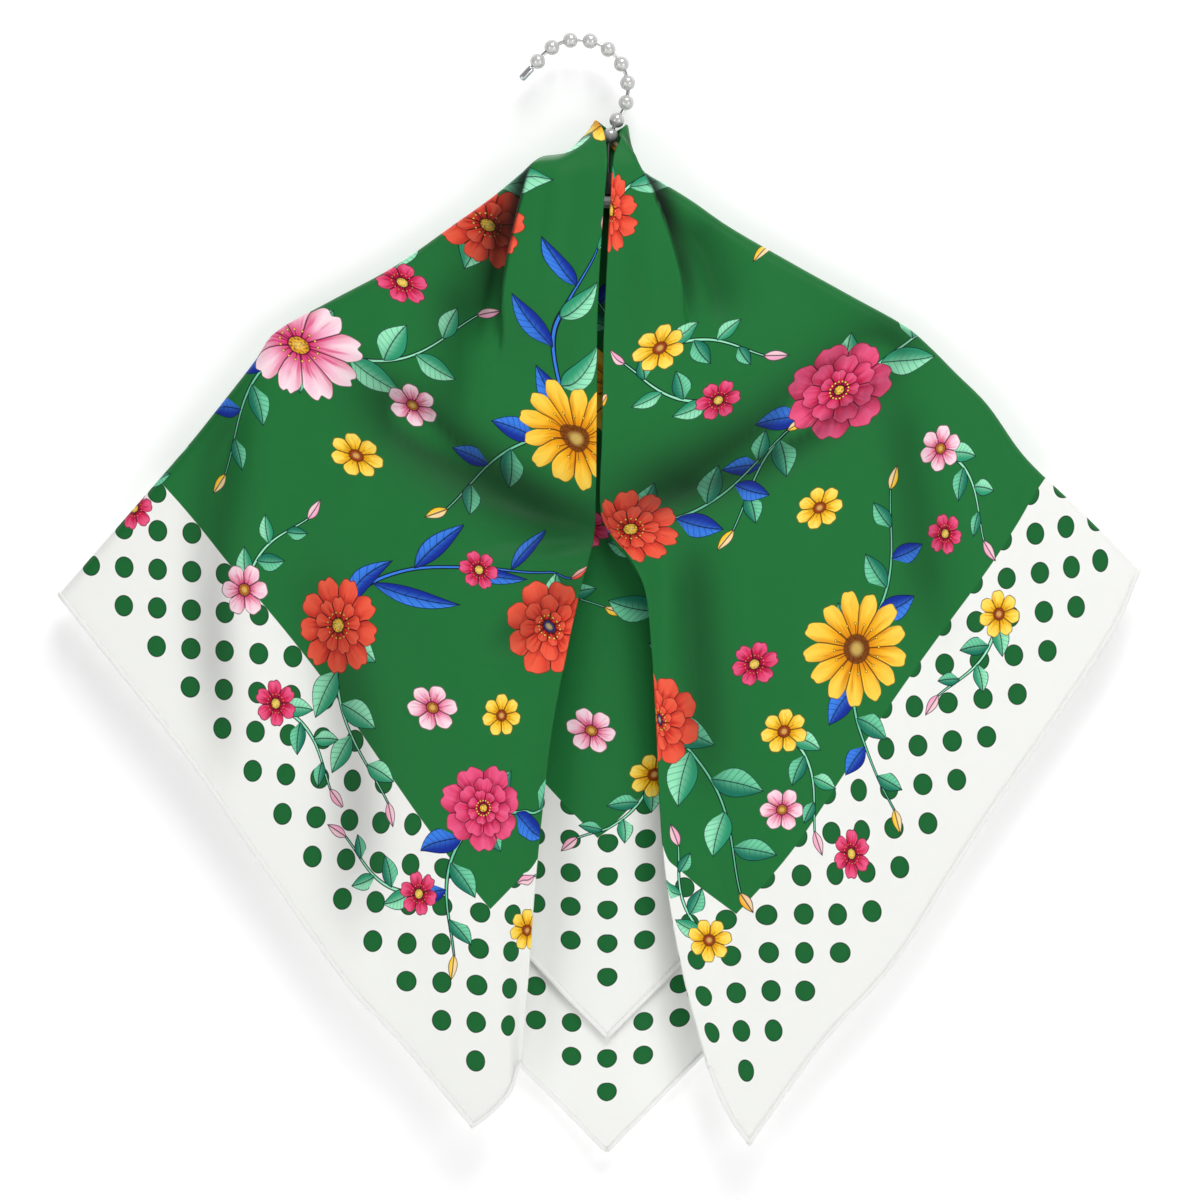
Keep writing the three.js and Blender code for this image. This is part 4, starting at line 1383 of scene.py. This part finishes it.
    def paint_fold_shade(self, mesh: bpy.types.Mesh) -> None:
        """Writes the painted shade of the cloth's folds, on the front, as an attribute of each point.

        Args:
            mesh: the cloth's mesh.
        """
        places = np.empty(len(mesh.vertices) * 3, np.float32)
        mesh.vertices.foreach_get("co", places)
        places = places.reshape(-1, 3).astype(float) / MM - NECK
        # Painted shade, kept to the places in front of the hanger.
        dark = painted_fold_shade(places[:, 0], places[:, 2]) * smooth(-places[:, 1], 2, 6)
        attribute = mesh.attributes.new("fold_shade", "FLOAT", "POINT")
        attribute.data.foreach_set("value", dark.astype(np.float32))

    def ground(self, graph: Graph, a: Wire, b: Wire) -> Wire:
        """Paints the border, its dots and the plain field.

        Args:
            graph: tree that it is written in.
            a: places across the square, in millimetres from its middle.
            b: places up the square.

        Returns:
            Wire of the colour.
        """
        green, dark_green, white = srgb(30, 111, 54), srgb(6, 42, 20), srgb(239, 240, 236)
        dot_green = srgb(24, 100, 48)
        half = SQUARE / 2
        from_b = half - abs(b)
        top_bottom = graph.step(from_b, self.straight_border - 0.25, self.straight_border + 0.25)
        from_a = half - abs(a)
        sides = graph.step(from_a, self.scalloped_border - 0.25, self.scalloped_border + 0.25)
        field = top_bottom * sides
        i = (half - self.dot_start - a) / self.dot_pitch
        j = (half - self.dot_start - b) / self.dot_pitch
        u, v = (i + j) * 0.5, (i - j) * 0.5
        du, dv = u - graph.math("ROUND", u), v - graph.math("ROUND", v)
        away = graph.math("SQRT", du * du + dv * dv) * (self.dot_pitch * math.sqrt(2))
        nearest = graph.math("MINIMUM", from_a, from_b)
        room = graph.step(nearest, self.dot_margin - 0.1, self.dot_margin + 0.1)
        dot = (1.0 - graph.step(away, self.dot_radius - 0.2, self.dot_radius + 0.2)) * room
        rim = graph.step(away, self.dot_radius - 0.85, self.dot_radius - 0.4)
        colour = graph.mix(dot, white, graph.mix(rim * 0.85, dot_green, dark_green))
        return graph.mix(field, colour, green)

    def material(self) -> bpy.types.Material:
        """Makes the printed silk."""
        material = bpy.data.materials.new("printed_silk")
        material.use_nodes = True
        graph = Graph(material.node_tree)
        shader = material.node_tree.nodes["Principled BSDF"]
        flat = graph.node("ShaderNodeUVMap", uv_map="flat")
        u, v, _ = graph.split(flat)
        a, b = (u - 0.5) * SQUARE, (v - 0.5) * SQUARE
        colour = self.ground(graph, a, b)
        makers = PrintGroups()
        groups = (
            ("sprigs", makers.sprig(), self.sprig_layers),
            ("blooms", makers.bloom(), self.bloom_layers),
        )
        for label, group, layers in groups:
            for layer in range(layers):
                place = graph.node("ShaderNodeAttribute", output=1, attribute_name=f"{label}_{layer + 1}")
                painted = graph.node("ShaderNodeGroup", node_tree=group)
                node = painted.socket.node
                graph.feed(place, node.inputs[0])
                code = graph.split(place)[2]
                mask = Wire(graph, node.outputs[1]) * graph.step(code, 0.4, 0.6)
                colour = graph.mix(mask, colour, painted)
        # Painted shade: the print is mixed towards near black by the painted fold shade.
        fold_shade = graph.node("ShaderNodeAttribute", output=2, attribute_name="fold_shade")
        colour = graph.mix(fold_shade, colour, (0.001, 0.003, 0.002))
        graph.feed(colour, shader.inputs["Base Color"])
        shade = graph.noise(graph.vector(a, b, 0.0), 0.05, 3.0)
        graph.feed(graph.math("MULTIPLY_ADD", shade, 0.1, 0.47), shader.inputs["Roughness"])
        twill = graph.math("SINE", (a + b * 0.55) * (2 * math.pi / 0.62))
        threads = graph.math("SINE", (a * 0.35 - b) * (2 * math.pi / 0.5))
        grain = graph.noise(graph.vector(a, b, 0.0), 1.6, 2.0)
        height = twill * 0.5 + threads * 0.25 + grain * 1.6
        bump = graph.node("ShaderNodeBump", (("Strength", 0.16), ("Distance", 0.00012), ("Height", height)))
        graph.feed(bump, shader.inputs["Normal"])
        shader.inputs["Specular IOR Level"].default_value = 0.12
        shader.inputs["Sheen Weight"].default_value = 0.03
        shader.inputs["Sheen Roughness"].default_value = 0.35
        plain = graph.node("ShaderNodeBsdfPrincipled", (("Roughness", 0.5),))
        graph.feed(self.ground(graph, a, b), plain.socket.node.inputs["Base Color"])
        seen = graph.node("ShaderNodeLightPath")
        either = graph.node("ShaderNodeMixShader").socket.node
        graph.feed(seen, either.inputs[0])
        graph.feed(plain, either.inputs[1])
        surface = material.node_tree.nodes["Material Output"].inputs["Surface"]
        material.node_tree.links.new(shader.outputs[0], either.inputs[2])
        material.node_tree.links.new(either.outputs[0], surface)
        return material


@dataclass
class Hanger:
    """Beaded hook and its silver cap, in millimetres from the hook."""

    hook_radius: float = 30.05
    pearl_radius: float = 4.8
    bore: float = 1.6
    wire_radius: float = 1.25
    tip: tuple = (-30.2, 0.0, -14.1)
    last_pearl: tuple = (19.3, 0.0, -53.6)

    def on_hook(self, degrees: float) -> Vector:
        """Place on the hook's circle."""
        turned = math.radians(degrees)
        centre = self.pearl_radius - self.hook_radius
        return Vector((self.hook_radius * math.cos(turned), 0, centre + self.hook_radius * math.sin(turned)))

    def along_hook(self, degrees: float) -> Vector:
        """Way that the hook runs there, towards the neck."""
        turned = math.radians(degrees)
        return Vector((math.sin(turned), 0, -math.cos(turned)))

    def tube(self, bm: bmesh.types.BMesh, path: list, radius: float, sides: int) -> None:
        """Adds a round rod along a path in the hanger's plane.

        Args:
            bm: mesh it is added to.
            path: places along it.
            radius: its radius.
            sides: how many sides it has.
        """
        places = np.array(path, float)
        along = np.gradient(places, axis=0)
        along /= np.linalg.norm(along, axis=1, keepdims=True)
        side = np.array([0.0, 1.0, 0.0])
        up = np.cross(along, side)
        ring = np.linspace(0, 2 * math.pi, sides + 1)
        wall = places[:, None] + radius * (
            up[:, None] * np.cos(ring)[None, :, None] + side[None, None] * np.sin(ring)[None, :, None]
        )
        uvs = np.zeros(wall.shape[:2] + (2,))
        draped_grid(bm, wall * MM, uvs, False)
        bmesh.ops.remove_doubles(bm, verts=bm.verts, dist=0.000005)
        bmesh.ops.holes_fill(bm, edges=[edge for edge in bm.edges if edge.is_boundary], sides=sides)
        bmesh.ops.recalc_face_normals(bm, faces=bm.faces)

    def spun(self, bm: bmesh.types.BMesh, outline: list, steps: int) -> None:
        """Spins an outline once round the Z axis.

        Args:
            bm: mesh that holds the outline.
            outline: its points and edges.
            steps: how many steps make the turn.
        """
        full = 2 * math.pi
        bmesh.ops.spin(
            bm, geom=outline, cent=(0, 0, 0), axis=(0, 0, 1), angle=full, steps=steps, use_merge=True
        )
        bmesh.ops.remove_doubles(bm, verts=bm.verts, dist=0.0001)
        bmesh.ops.recalc_face_normals(bm, faces=bm.faces)

    def set_down(self, bm: bmesh.types.BMesh, place: Vector, along: Vector) -> None:
        """Turns a mesh's Z axis along the hook, and moves it to its place, in metres.

        Args:
            bm: the mesh, in millimetres.
            place: where its origin goes.
            along: way that its Z axis goes.
        """
        turned = Vector((0, 0, 1)).rotation_difference(along).to_matrix().to_4x4()
        placed = Matrix.Scale(MM, 4) @ Matrix.Translation(place) @ turned
        bmesh.ops.transform(bm, matrix=placed, verts=bm.verts)

    def wire(self, material: bpy.types.Material) -> bpy.types.Object:
        """Builds the wire inside the pearls."""
        rows = [self.tip] + [tuple(self.on_hook(146 - 185.2 * i / 40)) for i in range(41)]
        rows += [self.last_pearl, (18.2, 0, -60), (18, 0, -66), (18, 0, -82)]
        curve = SpaceRail(rows)
        bm = bmesh.new()
        self.tube(bm, list(curve.at(np.linspace(0, 1, 150))), self.wire_radius, 14)
        return new_object("hanger_wire", bm, material)

    def pearl(self, number: int, material: bpy.types.Material) -> bpy.types.Object:
        """Builds one pearl, with its bore and its slightly uneven shape.

        Args:
            number: which pearl, from 1 at the hook's tip.
            material: the pearl's finish.

        Returns:
            The pearl.
        """
        bm = bmesh.new()
        start = math.asin(self.bore / self.pearl_radius)
        steps = 26
        verts = []
        for i in range(steps + 1):
            angle = mix(start, math.pi - start, i / steps)
            x, z = self.pearl_radius * math.sin(angle), self.pearl_radius * math.cos(angle)
            verts.append(bm.verts.new((x, 0, z)))
        edges = [bm.edges.new((verts[i], verts[i + 1])) for i in range(steps)]
        edges.append(bm.edges.new((verts[-1], verts[0])))
        self.spun(bm, verts + edges, 40)
        chance = random.Random(40 + number)
        stretch = Vector((chance.uniform(0.985, 1.0), chance.uniform(0.985, 1.0), chance.uniform(0.975, 1.0)))
        bmesh.ops.scale(bm, verts=bm.verts, vec=stretch)
        if number == 10:
            place, along = Vector(self.last_pearl), Vector((-0.3, 0, -1))
        else:
            degrees = 146 - 23.15 * (number - 1)
            place, along = self.on_hook(degrees), self.along_hook(degrees)
        self.set_down(bm, place, along)
        return new_object(f"pearl_piece_{number:02d}", bm, material)

    def cap(self, material: bpy.types.Material) -> bpy.types.Object:
        """Builds the rounded cap on the hook's tip."""
        bm = bmesh.new()
        along = (Vector(self.tip) - self.on_hook(146)).normalized()
        outline = [
            (1.7, -2.4), (2.1, -2.3), (2.35, -2.0), (2.4, -1.5),
            (2.4, 5.4), (2.25, 6.3), (1.8, 7.0), (1.0, 7.4),
        ]
        verts = [bm.verts.new((radius, 0, high)) for radius, high in outline]
        verts = [bm.verts.new((0, 0, -2.4))] + verts + [bm.verts.new((0, 0, 7.5))]
        edges = [bm.edges.new((verts[i], verts[i + 1])) for i in range(len(verts) - 1)]
        self.spun(bm, verts + edges, 32)
        self.set_down(bm, Vector(self.tip), along)
        return new_object("hanger_cap", bm, material)


class SpaceRail:
    """Smooth curve through places in space, read by its share of length."""

    def __init__(self, rows: list) -> None:
        """Reads the rows as two flat rails."""
        places = np.array(rows, float)
        self.rail = Rail(places[:, [0, 2]])

    def at(self, share: np.ndarray) -> np.ndarray:
        """Places on the curve."""
        flat = self.rail.at(share)
        return np.stack([flat[:, 0], np.zeros(len(flat)), flat[:, 1]], axis=-1)


@dataclass(frozen=True)
class Finish:
    """Plain finish of a piece."""

    name: str
    colour: tuple
    roughness: float
    metallic: float = 0.0
    coat: float = 0.0
    sheen: float = 0.0
    # rim: colour of a painted bright rim where the surface turns from view, with a painted darker ring inside
    # it.
    rim: tuple = ()
    gloss: float = 0.5

    def build(self) -> bpy.types.Material:
        """Builds its material."""
        material = bpy.data.materials.new(self.name)
        material.use_nodes = True
        shader = material.node_tree.nodes["Principled BSDF"]
        shader.inputs["Base Color"].default_value = (*self.colour, 1)
        shader.inputs["Roughness"].default_value = self.roughness
        shader.inputs["Metallic"].default_value = self.metallic
        shader.inputs["Coat Weight"].default_value = self.coat
        shader.inputs["Sheen Weight"].default_value = self.sheen
        shader.inputs["Specular IOR Level"].default_value = self.gloss
        # Painted light: a painted darker ring and a painted bright rim, set by how far the surface turns from
        # view.
        if self.rim:
            shader.inputs["Coat IOR"].default_value = 1.9
            graph = Graph(material.node_tree)
            facing = Wire(graph, material.node_tree.nodes.new("ShaderNodeLayerWeight").outputs["Facing"])
            shaded_ring_colour = tuple(0.74 * value for value in self.colour)
            ring = graph.mix(graph.step(facing, 0.2, 0.65), self.colour, shaded_ring_colour)
            graph.feed(graph.mix(graph.step(facing, 0.72, 0.92), ring, self.rim), shader.inputs["Base Color"])
        return material


# Soft square lights: name, place, length of a side in metres, and power in watts.
LAMPS = (
    ("left_box", (-1.1, -1.5, -0.4), 0.8, 5.2),
    ("right_box", (1.15, -1.5, -0.4), 0.8, 5.8),
    ("top_box", (0.35, -1.2, 1.25), 1.0, 26),
    ("back_box", (0.0, 2.6, 1.2), 1.6, 40),
)
LAMP_AIM = (0, 0, -0.3)


@dataclass
class Studio:
    """Pale floor and wall, soft lights and the camera at the photograph's angle."""

    wall_y: float = 0.021
    floor_z: float = -0.95
    corner: float = 0.15
    front: float = -3.2
    top: float = 1.9
    width: float = 5.2
    glow: float = 0.27
    ambient: float = 0.13
    camera_x: float = 0.013
    camera_z: float = -0.3367
    distance: float = 2.6
    lens: float = 128.0

    def wall(self) -> None:
        """Builds the floor and the wall behind, in one sheet with a rounded corner."""
        bm = bmesh.new()
        radius = self.corner
        outline = [(self.front, self.floor_z), (self.wall_y - radius, self.floor_z)]
        for i in range(1, 8):
            angle = math.pi / 2 * i / 8
            back, up = radius * (1 - math.sin(angle)), radius * (1 - math.cos(angle))
            outline.append((self.wall_y - back, self.floor_z + up))
        outline += [(self.wall_y, self.floor_z + radius), (self.wall_y, self.top)]
        verts = [bm.verts.new((-self.width / 2, y, z)) for y, z in outline]
        edges = [bm.edges.new((verts[i], verts[i + 1])) for i in range(len(verts) - 1)]
        moved = bmesh.ops.extrude_edge_only(bm, edges=edges)["geom"]
        moved = [part for part in moved if isinstance(part, bmesh.types.BMVert)]
        bmesh.ops.translate(bm, verts=moved, vec=(self.width, 0, 0))
        bm.normal_update()
        wrong = [face for face in bm.faces if face.normal.y > 0 or face.normal.z < -0.5]
        bmesh.ops.reverse_faces(bm, faces=wrong)
        mesh = bpy.data.meshes.new("studio")
        bm.to_mesh(mesh)
        bm.free()
        mesh.polygons.foreach_set("use_smooth", np.ones(len(mesh.polygons), bool))
        sheet = bpy.data.objects.new("studio", mesh)
        bpy.context.scene.collection.objects.link(sheet)
        material = bpy.data.materials.new("studio")
        material.use_nodes = True
        nodes, links = material.node_tree.nodes, material.node_tree.links
        shader = nodes["Principled BSDF"]
        shader.inputs["Base Color"].default_value = (0.8, 0.8, 0.8, 1)
        shader.inputs["Roughness"].default_value = 0.9
        shader.inputs["Specular IOR Level"].default_value = 0.1
        shader.inputs["Emission Color"].default_value = (1, 1, 1, 1)
        shader.inputs["Emission Strength"].default_value = self.glow
        material.cycles.emission_sampling = "NONE"
        clear = nodes.new("ShaderNodeBsdfTransparent")
        facing = nodes.new("ShaderNodeNewGeometry")
        path = nodes.new("ShaderNodeLightPath")
        through = nodes.new("ShaderNodeMath")
        through.operation = "MAXIMUM"
        either = nodes.new("ShaderNodeMixShader")
        links.new(facing.outputs["Backfacing"], through.inputs[0])
        links.new(path.outputs["Is Shadow Ray"], through.inputs[1])
        links.new(through.outputs[0], either.inputs[0])
        links.new(shader.outputs[0], either.inputs[1])
        links.new(clear.outputs[0], either.inputs[2])
        links.new(either.outputs[0], nodes["Material Output"].inputs["Surface"])
        mesh.materials.append(material)

    def light(self, name: str, place: tuple, size: float, power: float) -> None:
        """Adds a soft square light that points at the scarf.

        Args:
            name: its name.
            place: where it stands.
            size: length of its side.
            power: its power in watts.
        """
        data = bpy.data.lights.new(name, "AREA")
        data.size = size
        data.energy = power
        lamp = bpy.data.objects.new(name, data)
        bpy.context.scene.collection.objects.link(lamp)
        lamp.location = place
        lamp.rotation_euler = (Vector(LAMP_AIM) - Vector(place)).to_track_quat("-Z", "Y").to_euler()

    def build(self) -> None:
        """Builds the studio."""
        self.wall()
        for lamp in LAMPS:
            self.light(*lamp)
        bpy.context.scene.view_settings.view_transform = "Standard"
        world = bpy.context.scene.world or bpy.data.worlds.new("studio")
        bpy.context.scene.world = world
        world.use_nodes = True
        background = world.node_tree.nodes["Background"]
        background.inputs["Color"].default_value = (1, 1, 1, 1)
        background.inputs["Strength"].default_value = self.ambient
        data = bpy.data.cameras.new("camera")
        data.lens = self.lens
        data.sensor_width = 36
        camera = bpy.data.objects.new("camera", data)
        bpy.context.scene.collection.objects.link(camera)
        camera.location = (self.camera_x, -self.distance, self.camera_z)
        camera.rotation_euler = (math.pi / 2, 0, 0)
        bpy.context.scene.camera = camera


WHITE_SILK = Finish("hem_white", (0.84, 0.84, 0.82), 0.5)
THREAD = Finish("thread", (0.86, 0.86, 0.84), 0.6)
WIRE = Finish("wire", (0.72, 0.72, 0.72), 0.28, metallic=1.0)
# The pearls' colour carries a painted darker ring and a painted bright rim.
PEARL = Finish("pearl", (0.56, 0.555, 0.545), 0.07, coat=1.0, rim=(0.9, 0.9, 0.89), gloss=1.0)
CAP = Finish("cap", (0.6, 0.61, 0.63), 0.14, metallic=0.7)
ARMS = Finish("arms", (0.8, 0.8, 0.79), 0.4)

CLOTH_NODES = ("front_left", "front_right", "back", "inner_front_left", "inner_front_right", "inner_back")
HEM_NODES = ("hem_left", "hem_right", "hem_back", "hem_tip_left", "hem_tip_right")


def main() -> None:
    """Builds every piece in order."""
    logging.basicConfig(level=logging.INFO, format="%(name)s: %(message)s")
    silk_print = SilkPrint()
    scarf = Scarf().build(silk_print.material())
    silk_print.paint_places(scarf.data)
    silk_print.paint_fold_shade(scarf.data)
    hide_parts(*CLOTH_NODES)
    hem_maker = Hem()
    hem = hem_maker.build(WHITE_SILK.build())
    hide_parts(*HEM_NODES)
    stitches = hem_maker.stitches(THREAD.build())
    hanger = Hanger()
    wire = hanger.wire(WIRE.build())
    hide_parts("hook_wire")
    pearl_finish = PEARL.build()
    for number in range(1, 11):
        pearl = hanger.pearl(number, pearl_finish)
        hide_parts(f"pearl_{number:02d}")
    cap = hanger.cap(CAP.build())
    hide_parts("hook_cap")
    arms = ARMS.build()
    for name, finish in (("hanger_arms", arms), ("neck_boss", wire.data.materials[0])):
        node = bpy.data.objects[name]
        node.data.materials.clear()
        node.data.materials.append(finish)
    Studio().build()
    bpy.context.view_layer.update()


if __name__ == "__main__":
    main()
